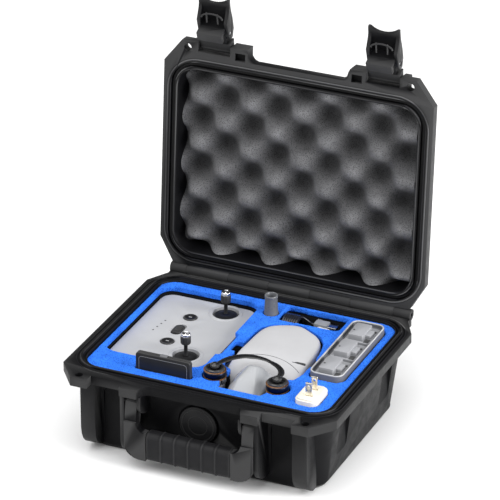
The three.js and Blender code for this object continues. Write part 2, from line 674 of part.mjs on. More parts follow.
// ---------- battery hub, charger and small goods ----------
const BATTERY_PITCH = 35;
const BATTERY_COUNT = 3;
const BATTERY_DEEP = 31;
const HUB_WALL = 4;
const HUB_FLOOR = 8;

function batterySpace(index, grow) {
  const front = HUB.front + 4.5 + index * BATTERY_PITCH;
  return {
    left: HUB.left + HUB_WALL - grow,
    right: HUB.right - HUB_WALL + grow,
    front: front - grow,
    back: front + BATTERY_DEEP + grow,
  };
}

function batteryHub() {
  const body = prism(rectOf(HUB, 0, 8), HUB.bottom, HUB.top);
  const bays = [];
  for (let i = 0; i < BATTERY_COUNT; i++) {
    bays.push(prism(rectOf(batterySpace(i, 0.5), 0, 2), HUB.bottom + HUB_FLOOR, HUB.top + CUT, 2));
  }
  const rimStep = prism(rectOf(HUB, -2, 6), HUB.top - 3, HUB.top + CUT);
  return cut(body, rimStep, ...bays);
}

const battery = (index) =>
  prism(rectOf(batterySpace(index, 0), 0, 2), HUB.bottom + HUB_FLOOR + GAP, HUB.top - 3.4, 2);

const PRONG_X = 96.5;
const PRONG_Y = [-57.6, -70.3];
const PRONG_ROOT = 8;               // depth of the prongs in the charger

function chargerBody() {
  const slot = (y) => box(PRONG_X - 3.6, PRONG_X + 3.6, y - 1.1, y + 1.1, CHARGER.top - PRONG_ROOT,
    CHARGER.top + CUT);
  const bodyBox = prism(rectOf(CHARGER, 0, 6), CHARGER.bottom, CHARGER.top - 1.5);
  const crown = prism(rectOf(CHARGER, -1.5, 4.5), CHARGER.top - 3, CHARGER.top);
  const bar = box(PRONG_X - 3, PRONG_X + 3, PRONG_Y[1], PRONG_Y[0], CHARGER.top - PRONG_ROOT,
    CHARGER.top - 4.5);
  return cut(join(bodyBox, crown), ...PRONG_Y.map(slot), bar);
}

// Two fixed blades on one cross bar inside the charger.
function chargerProngs() {
  const low = CHARGER.top - PRONG_ROOT + GAP;
  const blade = (y) => box(PRONG_X - 3.2, PRONG_X + 3.2, y - 0.75, y + 0.75, low, CHARGER.top + 13);
  return join(...PRONG_Y.map(blade), box(PRONG_X - 2.4, PRONG_X + 2.4, PRONG_Y[1], PRONG_Y[0], low,
    low + 2.5));
}

function cardCaseHalf(front, back) {
  const { left, right, top, bottom } = CARD_CASE;
  const outline = roundRect(left, right, bottom, top, 3);
  const geometry = new THREE.ExtrudeGeometry(outline, { depth: back - front, bevelEnabled: false,
    curveSegments: 2 });
  geometry.rotateX(Math.PI / 2);
  geometry.translate(0, back, 0);
  return solid(geometry);
}

function toolTube() {
  const { r, top, bottom } = TUBE;
  return turned(TUBE.x, TUBE.y, [[0, bottom], [r, bottom], [r, FOAM_Z + 2], [r - 1, top], [r - 2.6, top],
    [r - 2.8, bottom + 3], [0, bottom + 3]], 16);
}

// ---------- charging cable ----------
const CORD_R = 1.1;
const COIL = { x: 18, y: 74.5, outerTurn: 12.7, innerTurn: 10.5, half: 8 };
const COIL_SLACK = 0.2;             // between the turns and the coil's outer shape
const COIL_OUT = COIL.outerTurn + CORD_R + COIL_SLACK;
const COIL_IN = COIL.innerTurn - CORD_R - COIL_SLACK;
const COIL_Z = CABLE_POCKET.bottom + COIL_OUT;
const PLUG_LOW = PLUG_POCKET.bottom;
const PLUG_HEIGHT = 7.4;
const PLUG_A = { left: 38, right: 52, front: 77, back: 87 };
const PLUG_B = { left: 44, right: 57, front: 63.5, back: 73.5 };

function cableCoil() {
  const geometry = new THREE.LatheGeometry([
    new THREE.Vector2(COIL_IN, -COIL.half), new THREE.Vector2(COIL_OUT, -COIL.half),
    new THREE.Vector2(COIL_OUT, COIL.half), new THREE.Vector2(COIL_IN, COIL.half),
    new THREE.Vector2(COIL_IN, -COIL.half),
  ], 24);
  geometry.rotateZ(-Math.PI / 2);
  geometry.translate(COIL.x, COIL.y, COIL_Z);
  return solid(geometry);
}

// A lead runs from the end of one layer of turns, on the coil's right face, down to the back of its plug.
function lead(b, y, turn) {
  const start = COIL.x + COIL.half + GAP;
  const end = b.left - GAP;
  const middle = (b.front + b.back) / 2;
  const high = COIL_Z + Math.sqrt(turn * turn - (y - COIL.y) ** 2);
  const low = PLUG_LOW + PLUG_HEIGHT / 2;
  const points = [
    [start, y, high], [start + (end - start) * 0.3, y, high - 0.8],
    [start + (end - start) * 0.7, middle, low + 0.8], [end, middle, low],
  ];
  const path = new THREE.CatmullRomCurve3(points.map((point) => new THREE.Vector3(...point)));
  const section = circle(0, 0, CORD_R);
  return solid(new THREE.ExtrudeGeometry(section, { steps: 8, curveSegments: 4, extrudePath: path }));
}

// A moulded plug lying flat, with its metal shell at the right.
function plug(b, shellLength) {
  const middle = (b.front + b.back) / 2;
  const body = prism(rectOf(b, 0, 2), PLUG_LOW, PLUG_LOW + PLUG_HEIGHT, 2);
  const shell = box(b.right - 1, b.right + shellLength, middle - 3.8, middle + 3.8, PLUG_LOW + 1.6,
    PLUG_LOW + 5.8);
  return join(body, shell);
}

// ---------- the assembly ----------
const model = new THREE.Group();
const shellPaint = paint(BLACK_SHELL, 0.62);
const latchPaint = paint(HARD_BLACK, 0.5);
const steelPaint = paint(STEEL, 0.3, 1);

addNode(model, 'base_shell', baseShell(), shellPaint);
addNode(model, 'vent_cap', ventCap(), paint(HARD_BLACK, 0.55));
addNode(model, 'vent_seal', ventSeal(), paint(0x101010, 0.9));
addNode(model, 'hinge_pin', rodX(-121.4, 121.4, [HINGE_Y, HINGE_Z], PIN_R, 12), steelPaint);
addNode(model, 'foam_lower', foamBlock(FLOOR + GAP, FOAM_Z - BLUE - GAP), paint(0x1d1d1f, 0.95));
addNode(model, 'foam_blue_top', foamBlock(FOAM_Z - BLUE, FOAM_Z), paint(0x0a5fe0, 0.95));
addNode(model, 'handle_frame', handle(), paint(HARD_BLACK, 0.55));
addNode(model, 'handle_grip', handleGrip(), paint(0x202022, 0.8));
for (const [name, side] of [['left', -1], ['right', 1]]) {
  addNode(model, `handle_pin_${name}`, rodX(...spanX(side, 50, 66.4), HANDLE_PIVOT, HANDLE_PIN_R),
    steelPaint.clone());
}

addNode(model, 'controller_front', controllerFront(), paint(LIGHT_GREY, 0.5));
addNode(model, 'controller_back', controllerBack(), paint(0xb9babc, 0.55));
STICKS.forEach((place, i) => {
  const name = i === 0 ? 'rear' : 'front';
  addNode(model, `stick_dome_${name}`, stickDome(place), paint(0x303032, 0.6));
  addNode(model, `stick_knob_${name}`, stickKnob(place), paint(0x1b1b1d, 0.35));
});
addNode(model, 'button_rear', roundButton(BUTTONS[0]), paint(0x2c2c2e, 0.5));
addNode(model, 'button_front', roundButton(BUTTONS[1]), paint(0x2c2c2e, 0.5));
addNode(model, 'mode_switch', modeSwitch(), paint(0x2c2c2e, 0.5));

addNode(model, 'drone_body', droneBody(), paint(0xd5d5d5, 0.5));
addNode(model, 'gimbal_cover', gimbalCover(), paint(0xa9abad, 0.3));
MOTORS.forEach((place, i) => {
  const name = i === 0 ? 'left' : 'right';
  const tip = i === 0 ? [30, -36] : [34, -42];
  addNode(model, `motor_${name}`, droneMotor(place), paint(0x24262c, 0.35, 0.6));
  addNode(model, `propeller_${name}`, foldedPropeller(place, tip), paint(0x141416, 0.4));
});

addNode(model, 'battery_hub', batteryHub(), paint(0x77797d, 0.5));
for (let i = 0; i < BATTERY_COUNT; i++) addNode(model, `battery_${i + 1}`, battery(i), paint(0xb5b6b8, 0.5));
addNode(model, 'charger_body', chargerBody(), paint(0xf4eedf, 0.35));
addNode(model, 'charger_prongs', chargerProngs(), paint(0xefe9da, 0.3, 0.4));
const caseSeam = (CARD_CASE.front + CARD_CASE.back) / 2;
addNode(model, 'card_case_front', cardCaseHalf(CARD_CASE.front, caseSeam - GAP / 2), paint(0x141416, 0.45));
addNode(model, 'card_case_back', cardCaseHalf(caseSeam + GAP / 2, CARD_CASE.back), paint(0x141416, 0.45));
addNode(model, 'tool_tube', toolTube(), paint(0x8f9194, 0.4));

addNode(model, 'cable_coil', cableCoil(), paint(0x15161c, 0.5));
addNode(model, 'cable_lead_a', lead(PLUG_A, 80, COIL.outerTurn), paint(0x15161c, 0.5));
addNode(model, 'cable_lead_b', lead(PLUG_B, 70, COIL.innerTurn), paint(0x15161c, 0.5));
addNode(model, 'cable_plug_a', plug(PLUG_A, 8.5), paint(0x9b9da0, 0.4));
addNode(model, 'cable_plug_b', plug(PLUG_B, 7), paint(0xe8e8e8, 0.4));

// The lid and everything on it turns about the hinge pin.
function turnedGroup(parent, [y, z], degrees) {
  const pivot = new THREE.Group();
  pivot.position.set(0, y, z);
  pivot.rotation.x = -rad(degrees);
  const inside = new THREE.Group();
  inside.position.set(0, -y, -z);
  pivot.add(inside);
  parent.add(pivot);
  return inside;
}

const lid = turnedGroup(model, [HINGE_Y, HINGE_Z], LID_OPEN);
addNode(lid, 'lid_shell', lidShell(), shellPaint.clone());
addNode(lid, 'lid_gasket', lidGasket(), paint(0x0e0e0e, 0.9));
addNode(lid, 'lid_foam', lidFoam(), paint(0x3a3a3c, 0.95));
for (const [name, side] of [['left', -1], ['right', 1]]) {
  addNode(lid, `latch_pin_${name}`, rodX(...spanX(side, 64, 105), LATCH_PIVOT, PIN_R, 12),
    steelPaint.clone());
  const link = turnedGroup(lid, LATCH_PIVOT, LATCH_OPEN);
  addNode(link, `latch_link_${name}`, latchLink(side), latchPaint.clone());
  addNode(link, `lever_pin_${name}`,
    rodX(...spanX(side, LATCH_X - LATCH_HALF + 0.4, LATCH_X + LATCH_HALF - 0.4), LEVER_PIVOT, PIN_R, 12),
    steelPaint.clone());
  addNode(link, `latch_lever_${name}`, latchLever(side), latchPaint.clone());
}

export default model;
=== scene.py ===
import json
import math

import bmesh
import bpy
from mathutils import Matrix, Vector, noise


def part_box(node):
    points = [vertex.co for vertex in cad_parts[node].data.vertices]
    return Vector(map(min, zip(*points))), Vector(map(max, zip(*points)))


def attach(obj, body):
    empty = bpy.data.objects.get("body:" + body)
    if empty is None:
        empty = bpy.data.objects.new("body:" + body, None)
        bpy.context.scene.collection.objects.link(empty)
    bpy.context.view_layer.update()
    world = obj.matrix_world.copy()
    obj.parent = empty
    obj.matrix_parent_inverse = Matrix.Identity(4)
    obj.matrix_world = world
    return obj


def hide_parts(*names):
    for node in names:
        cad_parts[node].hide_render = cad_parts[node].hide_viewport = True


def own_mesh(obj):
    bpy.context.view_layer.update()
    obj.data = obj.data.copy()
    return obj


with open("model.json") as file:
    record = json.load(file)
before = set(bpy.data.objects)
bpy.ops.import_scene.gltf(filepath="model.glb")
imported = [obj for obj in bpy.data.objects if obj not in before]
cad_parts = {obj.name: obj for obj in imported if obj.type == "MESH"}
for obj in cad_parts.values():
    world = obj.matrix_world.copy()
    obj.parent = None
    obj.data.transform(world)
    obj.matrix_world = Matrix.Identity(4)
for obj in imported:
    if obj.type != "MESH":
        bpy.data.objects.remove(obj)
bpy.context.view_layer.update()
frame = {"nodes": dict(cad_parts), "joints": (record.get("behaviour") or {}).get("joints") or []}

MM = 0.001
scene = bpy.context.scene


def at(x, y, z):
    return Vector((x, y, z)) * MM


def edges(node):
    """Lowest and highest corner of a CAD node, in millimetres."""
    low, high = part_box(node)
    return low / MM, high / MM


FOAM_TOP = edges("foam_blue_top")[1].z


# ---------- camera ----------
AZIMUTH = math.radians(23.93)
ELEVATION = math.radians(26.97)
DISTANCE = 3657.04
TARGET = (-71.69, 179.29, FOAM_TOP)
LENS = 273.2

camera_data = bpy.data.cameras.new("camera")
camera_data.sensor_width = 36
camera_data.lens = LENS
camera_data.clip_end = 50
camera = bpy.data.objects.new("camera", camera_data)
scene.collection.objects.link(camera)
towards = Vector((math.sin(AZIMUTH) * math.cos(ELEVATION), -math.cos(AZIMUTH) * math.cos(ELEVATION),
                  math.sin(ELEVATION)))
camera.location = at(*TARGET) + towards * DISTANCE * MM
camera.rotation_euler = (-towards).to_track_quat("-Z", "Y").to_euler()
scene.camera = camera


# ---------- materials ----------
def linear(value):
    """Linear colour of an sRGB hex string."""
    channels = [int(value[i:i + 2], 16) / 255 for i in (1, 3, 5)]
    return [c / 12.92 if c <= 0.04045 else ((c + 0.055) / 1.055) ** 2.4 for c in channels] + [1.0]


def scaled(color, factor):
    return [min(1.0, c * factor) for c in color[:3]] + [1.0]


def grey(value):
    return (value, value, value, 1)


class Surface:
    """A node-based material, with small helpers to add textures in the object's own metres."""

    def __init__(self, name, roughness, metallic=0.0):
        self.material = bpy.data.materials.new(name)
        self.material.use_nodes = True
        self.nodes = self.material.node_tree.nodes
        self.links = self.material.node_tree.links
        self.shader = self.nodes["Principled BSDF"]
        self.shader.inputs["Roughness"].default_value = roughness
        self.shader.inputs["Metallic"].default_value = metallic
        self.place = self.nodes.new("ShaderNodeTexCoord").outputs["Object"]
        self.normal = None

    def noise(self, size, detail=3.0, stretch=None):
        place = self.place
        if stretch:
            mapping = self.nodes.new("ShaderNodeMapping")
            mapping.inputs["Scale"].default_value = stretch
            self.links.new(place, mapping.inputs["Vector"])
            place = mapping.outputs["Vector"]
        node = self.nodes.new("ShaderNodeTexNoise")
        node.inputs["Scale"].default_value = 1 / (size * MM)
        node.inputs["Detail"].default_value = detail
        self.links.new(place, node.inputs["Vector"])
        return node.outputs["Fac"]

    def cells(self, size):
        node = self.nodes.new("ShaderNodeTexVoronoi")
        node.inputs["Scale"].default_value = 1 / (size * MM)
        self.links.new(self.place, node.inputs["Vector"])
        return node.outputs["Distance"]

    def ramp(self, fac, stops):
        node = self.nodes.new("ShaderNodeValToRGB")
        band = node.color_ramp.elements
        band[0].position, band[0].color = stops[0]
        band[1].position, band[1].color = stops[-1]
        for position, color in stops[1:-1]:
            band.new(position).color = color
        self.links.new(fac, node.inputs["Fac"])
        return node.outputs["Color"]

    def span(self, fac, low, high, start=0.3, end=0.7):
        node = self.nodes.new("ShaderNodeMapRange")
        node.inputs["From Min"].default_value = start
        node.inputs["From Max"].default_value = end
        node.inputs["To Min"].default_value = low
        node.inputs["To Max"].default_value = high
        self.links.new(fac, node.inputs["Value"])
        return node.outputs["Result"]

    def mix(self, fac, first, second, mode="MIX"):
        node = self.nodes.new("ShaderNodeMix")
        node.data_type = "RGBA"
        node.blend_type = mode
        for socket, value in ((node.inputs[0], fac), (node.inputs[6], first), (node.inputs[7], second)):
            if hasattr(value, "links"):
                self.links.new(value, socket)
            else:
                socket.default_value = value
        return node.outputs[2]

    def bump(self, height, depth, strength=1.0):
        node = self.nodes.new("ShaderNodeBump")
        node.inputs["Distance"].default_value = depth * MM
        node.inputs["Strength"].default_value = strength
        self.links.new(height, node.inputs["Height"])
        if self.normal:
            self.links.new(self.normal, node.inputs["Normal"])
        self.normal = node.outputs["Normal"]
        self.links.new(self.normal, self.shader.inputs["Normal"])

    def color(self, socket):
        self.links.new(socket, self.shader.inputs["Base Color"])

    def roughness(self, socket):
        self.links.new(socket, self.shader.inputs["Roughness"])

    def edge(self):
        """0 on flat stretches, rising on convex edges."""
        pointiness = self.nodes.new("ShaderNodeNewGeometry").outputs["Pointiness"]
        return self.span(pointiness, 0.0, 1.0, 0.51, 0.58)


def moulded(name, value, roughness=0.5, grain=0.5, depth=0.05, mottle=0.1, wear=0.25, coat=0.0, shine=0.35,
            lines=None):
    """Injection-moulded plastic: fine texture, faint mottling, paler rubbed edges, and, when lines is given,
    painted highlights and painted shade along its ridges.
    """
    base = linear(value)
    s = Surface(name, roughness)
    s.shader.inputs["Specular IOR Level"].default_value = shine
    clouds = s.noise(28, 4)
    tone = s.ramp(clouds, [(0.3, scaled(base, 1 - mottle)), (0.7, scaled(base, 1 + mottle))])
    rubbed = [c + (0.5 - c) * 0.35 for c in base[:3]] + [1.0]
    amount = s.nodes.new("ShaderNodeMath")
    amount.operation = "MULTIPLY"
    amount.inputs[1].default_value = wear
    s.links.new(s.edge(), amount.inputs[0])
    tone = s.mix(amount.outputs[0], tone, rubbed)
    if lines:
        # Painted highlights and shade: the ridge wave brightens the colour up to 2.6 times on crests and
        # darkens it to 0.45 times in troughs.
        shade = s.ramp(lines(s), [(0.25, grey(0.45)), (0.5, grey(1)), (0.8, grey(2.6))])
        tone = s.mix(1.0, tone, shade, "MULTIPLY")
    s.color(tone)
    s.roughness(s.span(s.noise(9, 3), max(0.05, roughness - 0.07), min(1, roughness + 0.08)))
    s.bump(s.noise(grain, 2), depth)
    s.shader.inputs["Coat Weight"].default_value = coat
    s.shader.inputs["Coat Roughness"].default_value = 0.2
    return s.material


def cellular(name, dark, light, cell=1.1, depth=0.5, sheen=0.15, painted_valley_shade=False):
    """Open-cell foam: pits between pale strands, with broad changes in tone and, when asked, painted shade
    that darkens the valleys by their depth.
    """
    s = Surface(name, 0.92)
    pits = s.cells(cell)
    fleck = s.ramp(pits, [(0.12, linear(dark)), (0.42, linear(light))])
    broad = s.span(s.noise(16, 3), 0.82, 1.14)
    even = s.nodes.new("ShaderNodeCombineColor")
    for i in range(3):
        s.links.new(broad, even.inputs[i])
    s.shader.inputs["Specular IOR Level"].default_value = 0.15
    tone = s.mix(1.0, fleck, even.outputs[0], "MULTIPLY")
    if painted_valley_shade:
        # Painted shade: the depth attribute darkens the colour to 0.3 times at the bottom of the valleys,
        # where shade falls.
        layer = s.nodes.new("ShaderNodeAttribute")
        layer.attribute_name = "depth"
        shade = s.ramp(layer.outputs["Fac"], [(0.05, grey(1)), (0.45, grey(0.6)), (0.85, grey(0.3))])
        tone = s.mix(1.0, tone, shade, "MULTIPLY")
    s.color(tone)
    s.bump(pits, depth, 0.6)
    s.bump(s.noise(cell * 2.2, 3), depth * 0.8, 0.6)
    s.shader.inputs["Sheen Weight"].default_value = sheen
    s.shader.inputs["Sheen Roughness"].default_value = 0.6
    return s.material


def metal(name, value, roughness=0.3, stretch=(1, 14, 14)):
    """Metal with fine drawn or turned lines and a slightly uneven shine."""
    base = linear(value)
    s = Surface(name, roughness, 1.0)
    lines = s.noise(2.2, 4, stretch)
    s.color(s.ramp(lines, [(0.3, scaled(base, 0.82)), (0.7, scaled(base, 1.1))]))
    s.roughness(s.span(s.noise(4, 3), max(0.08, roughness - 0.08), roughness + 0.1))
    s.bump(lines, 0.02, 0.5)
    return s.material


RIM_HALF = (99, 70.5)                # the box that the rim's reach is measured from
RIM_START, RIM_END = 22, 33          # the ridges lie between these reaches
RIM_RIDGE = 3.1
RIM_FACE = 2                         # the ridges are drawn this near to the rim's plane
BASE_RIM, LID_RIM = 82, 82.3


def rim_ridges_and_shading(centre, tilt):
    """Moulded ridges that follow a half's rounded rim, drawn round the box of its opening; the value it
    returns paints highlights on their crests and shade in their troughs.
    """

    def draw(s):
        def value(op, a, b=None, c=None):
            node = s.nodes.new("ShaderNodeMath")
            node.operation = op
            for socket, item in zip(node.inputs, (a, b, c)):
                if item is None:
                    continue
                if hasattr(item, "links"):
                    s.links.new(item, socket)
                else:
                    socket.default_value = item
            return node.outputs[0]

        turn = s.nodes.new("ShaderNodeMapping")
        turn.vector_type = "TEXTURE"
        turn.inputs["Location"].default_value = centre
        turn.inputs["Rotation"].default_value = (tilt, 0, 0)
        s.links.new(s.place, turn.inputs["Vector"])
        split = s.nodes.new("ShaderNodeSeparateXYZ")
        s.links.new(turn.outputs["Vector"], split.inputs[0])
        over = [value("MAXIMUM", value("SUBTRACT", value("ABSOLUTE", split.outputs[i]), half * MM), 0.0)
                for i, half in enumerate(RIM_HALF)]
        reach = value("SQRT", value("ADD", value("POWER", over[0], 2.0), value("POWER", over[1], 2.0)))
        wave = value("SINE", value("MULTIPLY", reach, 2 * math.pi / (RIM_RIDGE * MM)))
        near = value("LESS_THAN", value("ABSOLUTE", split.outputs[2]), RIM_FACE * MM)
        inside = value("MULTIPLY", value("GREATER_THAN", reach, RIM_START * MM),
                       value("LESS_THAN", reach, RIM_END * MM))
        ridge = value("MULTIPLY", wave, value("MULTIPLY", near, inside))
        s.bump(ridge, 0.5)
        # The ridge wave as 0 to 1, which moulded() turns into painted highlights on crests and painted shade
        # in troughs.
        return value("MULTIPLY_ADD", ridge, 0.5, 0.5)

    return draw


LID_JOINT = next(j for j in frame["joints"] if j["name"] == "lid_hinge")
HINGE = Vector(LID_JOINT["pos_m"])
LID_ANGLE = math.radians(LID_JOINT["range_deg"][0])
LID_TURN = Matrix.Rotation(LID_ANGLE, 4, "X")


def lid_place(x, y, z):
    """A point given with the lid closed, turned to where it is with the lid open."""
    return HINGE + LID_TURN @ (at(x, y, z) - HINGE)


M = {
    "shell_black": moulded("shell_black", "#0b0b0d", 0.48, 0.55, 0.08, 0.16, 0.2, 0, 0.1,
                           rim_ridges_and_shading(at(0, 0, BASE_RIM), 0)),
    "lid_black": moulded("lid_black", "#0b0b0d", 0.48, 0.55, 0.08, 0.16, 0.2, 0, 0.1,
                         rim_ridges_and_shading(lid_place(0, 0, LID_RIM), LID_ANGLE)),
    "hard_black": moulded("hard_black", "#0c0c0e", 0.42, 0.45, 0.05, 0.1, 0.2, 0, 0.13),
    "grip_rubber": moulded("grip_rubber", "#161618", 0.62, 0.8, 0.09, 0.12, 0.2, 0, 0.17),
    "seal_rubber": moulded("seal_rubber", "#0c0c0d", 0.75, 0.6, 0.04, 0.1, 0.1, 0, 0.15),
    "foam_black": cellular("foam_black", "#020203", "#121214", 1.2, 0.5, 0.0),
    "foam_blue": cellular("foam_blue", "#003aa6", "#2f74e6", 1.5, 0.9, 0.0),
    "foam_egg_crate": cellular("foam_egg_crate", "#181819", "#69696b", 1.15, 0.8, 0.05, True),
    "controller_grey": moulded("controller_grey", "#a9aaad", 0.42, 0.35, 0.02, 0.03, 0.15, 0, 0.3),
    "control_black": moulded("control_black", "#161618", 0.42, 0.4, 0.03, 0.1, 0.3, 0, 0.3),
    "drone_grey": moulded("drone_grey", "#b3b3b5", 0.4, 0.3, 0.015, 0.03, 0.1, 0, 0.3),
    "cover_grey": moulded("cover_grey", "#97999c", 0.22, 0.4, 0.01, 0.05, 0.2, 0.5, 0.4),
    "propeller_black": moulded("propeller_black", "#0a0a0c", 0.26, 0.4, 0.02, 0.08, 0.2, 0.3, 0.4),
    "hub_grey": moulded("hub_grey", "#5b5c60", 0.45, 0.35, 0.02, 0.05, 0.25, 0, 0.3),
    "battery_grey": moulded("battery_grey", "#8d8e92", 0.45, 0.3, 0.02, 0.04, 0.2, 0, 0.3),
    "charger_white": moulded("charger_white", "#e2dccd", 0.25, 0.5, 0.008, 0.02, 0.1, 0.4),
    "case_black": moulded("case_black", "#08080a", 0.38, 0.35, 0.03, 0.08, 0.3, 0, 0.25),
    "tube_grey": moulded("tube_grey", "#5b5d61", 0.3, 0.5, 0.02, 0.06, 0.25, 0, 0.4),
    "cable_black": moulded("cable_black", "#0a0d1c", 0.22, 0.5, 0.02, 0.1, 0.1, 0.6),
    "plug_grey": moulded("plug_grey", "#85878b", 0.4, 0.4, 0.02, 0.05, 0.25),
    "plug_white": moulded("plug_white", "#d8d8d6", 0.35, 0.4, 0.015, 0.03, 0.2),
    "steel_pin": metal("steel_pin", "#b8babd", 0.3),
    "prong_metal": metal("prong_metal", "#efe8d8", 0.3, (14, 14, 1)),
    "motor_metal": metal("motor_metal", "#1c2334", 0.34, (1, 1, 14)),
}
CHROME = metal("chrome_detail", "#e2e2e4", 0.12, (1, 1, 10))
COPPER = metal("copper_detail", "#c08a5c", 0.3, (1, 1, 14))
SILVER = metal("silver_detail", "#b9bbbf", 0.28, (14, 1, 1))
SEAM = moulded("seam_detail", "#3a3b3d", 0.6, 0.4, 0.02, 0.1, 0.0)
RIM_LIGHT = moulded("rim_detail", "#a7a8ab", 0.35, 0.3, 0.015, 0.03, 0.2)


# ---------- mesh helpers ----------
WELD_GAP = 0.004
FLAT_ANGLE = 0.6
BEVEL_ANGLE = 32
SHARP_ANGLE = 38


def smooth_by_angle():
    """A node group that shades smooth everywhere but at sharp edges."""
    group = bpy.data.node_groups.new("smooth_by_angle", "GeometryNodeTree")
    group.interface.new_socket("Geometry", in_out="INPUT", socket_type="NodeSocketGeometry")
    group.interface.new_socket("Geometry", in_out="OUTPUT", socket_type="NodeSocketGeometry")
    start = group.nodes.new("NodeGroupInput")
    end = group.nodes.new("NodeGroupOutput")
    faces = group.nodes.new("GeometryNodeSetShadeSmooth")
    faces.domain = "FACE"
    sharp = group.nodes.new("GeometryNodeSetShadeSmooth")
    sharp.domain = "EDGE"
    angle = group.nodes.new("GeometryNodeInputMeshEdgeAngle")
    below = group.nodes.new("FunctionNodeCompare")
    below.data_type = "FLOAT"
    below.operation = "LESS_EQUAL"
    below.inputs[1].default_value = math.radians(SHARP_ANGLE)
    group.links.new(angle.outputs[0], below.inputs[0])
    group.links.new(below.outputs[0], sharp.inputs["Shade Smooth"])
    group.links.new(start.outputs[0], faces.inputs["Geometry"])
    group.links.new(faces.outputs[0], sharp.inputs["Geometry"])
    group.links.new(sharp.outputs[0], end.inputs[0])
    return group


SMOOTH = smooth_by_angle()


def smooth(obj):
    modifier = obj.modifiers.new("smooth", "NODES")
    modifier.node_group = SMOOTH


def round_edges(obj, width, segments=2):
    modifier = obj.modifiers.new("round_edges", "BEVEL")
    modifier.width = width * MM
    modifier.segments = segments
    modifier.limit_method = "ANGLE"
    modifier.angle_limit = math.radians(BEVEL_ANGLE)
    modifier.use_clamp_overlap = True
    smooth(obj)


def finish_cad(node, material, width=0.5, segments=2):
    """A kept CAD node: merged, its flat faces made whole, its edges rounded and its material set."""
    obj = frame["nodes"][node]
    weld = obj.modifiers.new("weld", "WELD")
    weld.merge_threshold = WELD_GAP * MM
    flat = obj.modifiers.new("flat", "DECIMATE")
    flat.decimate_type = "DISSOLVE"
    flat.angle_limit = math.radians(FLAT_ANGLE)
    round_edges(obj, width, segments)
    obj.data.materials.clear()
    obj.data.materials.append(material)


def add(name, bm, body, slot, material=None, nodes=()):
    """A finished piece from a bmesh, riding on a body."""
    bmesh.ops.recalc_face_normals(bm, faces=bm.faces)
    mesh = bpy.data.meshes.new(name)
    bm.to_mesh(mesh)
    bm.free()
    mesh.materials.append(material or M[slot])
    obj = bpy.data.objects.new(name, mesh)
    scene.collection.objects.link(obj)
    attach(obj, body)
    if nodes:
        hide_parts(*nodes)
    return obj


def round_rect(x0, x1, y0, y1, r, steps=6):
    """Points round a rectangle with round corners, anticlockwise."""
    points = []
    corners = [(x1 - r, y0 + r, -90), (x1 - r, y1 - r, 0), (x0 + r, y1 - r, 90), (x0 + r, y0 + r, 180)]
    for cx, cy, start in corners:
        for i in range(steps + 1):
            a = math.radians(start + 90 * i / steps)
            points.append((cx + r * math.cos(a), cy + r * math.sin(a)))
    return points


def rounded(points, passes=2):
    """A corner-cut outline: each pass replaces a corner with two points."""
    for _ in range(passes):
        cut = []
        for i, (x, y) in enumerate(points):
            nx, ny = points[(i + 1) % len(points)]
            cut.append((0.75 * x + 0.25 * nx, 0.75 * y + 0.25 * ny))
            cut.append((0.25 * x + 0.75 * nx, 0.25 * y + 0.75 * ny))
        points = cut
    return points


def loft(bm, rings, cap_start=True, cap_end=True):
    """Joins rings of equal length, given as lists of millimetre points."""
    rows = [[bm.verts.new(at(*p)) for p in ring] for ring in rings]
    for low, high in zip(rows, rows[1:]):
        for i in range(len(low)):
            j = (i + 1) % len(low)
            bm.faces.new((low[i], low[j], high[j], high[i]))
    if cap_start:
        bm.faces.new(rows[0][::-1])
    if cap_end:
        bm.faces.new(rows[-1])
    return rows


def slab(bm, x0, x1, y0, y1, r, low, high, edge=0.8, steps=6):
    """A rounded box with rounded top and bottom edges."""
    profile = [(edge, low), (edge * 0.3, low + edge * 0.3), (0, low + edge), (0, high - edge),
               (edge * 0.3, high - edge * 0.3), (edge, high)]
    loft(bm, [[(x, y, z) for x, y in round_rect(x0 + d, x1 - d, y0 + d, y1 - d, max(0.05, r - d), steps)]
              for d, z in profile])


def lathe(bm, x, y, profile, sides=48, ripple=None):
    """A piece turned about a vertical axis; ripple changes the radius by angle and height."""
    rings = []
    for r, z in profile:
        ring = []
        for i in range(sides):
            a = 2 * math.pi * i / sides
            q = r + (ripple(a, r, z) if ripple else 0)
            ring.append((x + q * math.cos(a), y + q * math.sin(a), z))
        rings.append(ring)
    loft(bm, rings)


def tube(bm, points, radius, sides=8, closed=False):
    """A mesh tube along millimetre points."""
    places = [Vector(p) for p in points]
    n = len(places)
    rings = []
    for i, p in enumerate(places):
        before = places[(i - 1) % n] if closed or i else places[0]
        after = places[(i + 1) % n] if closed or i < n - 1 else places[-1]
        way = (after - before).normalized()
        side = way.cross(Vector((0, 0, 1)))
        if side.length < 0.05:
            side = way.cross(Vector((0, 1, 0)))
        side.normalize()
        up = side.cross(way)
        rings.append([tuple(p + side * radius * math.cos(2 * math.pi * k / sides)
                            + up * radius * math.sin(2 * math.pi * k / sides)) for k in range(sides)])
    if closed:
        rows = loft(bm, rings, False, False)
        for i in range(sides):
            j = (i + 1) % sides
            bm.faces.new((rows[-1][i], rows[-1][j], rows[0][j], rows[0][i]))
    else:
        loft(bm, rings)


def curve_through(points, per=6):
    """Points on a smooth curve through the given ones."""
    p = [Vector(v) for v in points]
    ends = [2 * p[0] - p[1], *p, 2 * p[-1] - p[-2]]
    out = []
    for i in range(len(p) - 1):
        a, b, c, d = ends[i:i + 4]
        for k in range(per):
            t = k / per
            out.append(0.5 * (2 * b + (c - a) * t + (2 * a - 5 * b + 4 * c - d) * t * t
                              + (3 * b - a - 3 * c + d) * t ** 3))
    out.append(p[-1])
    return out


# ---------- charging cable ----------
CORD_R = 1.1
COIL_LOW, COIL_HIGH = edges("cable_coil")
COIL_CENTRE = (COIL_LOW + COIL_HIGH) / 2
OUTER_TURN, INNER_TURN = 12.7, 10.5
COIL_REACH = 6.7
TURNS = 6
PER_TURN = 30


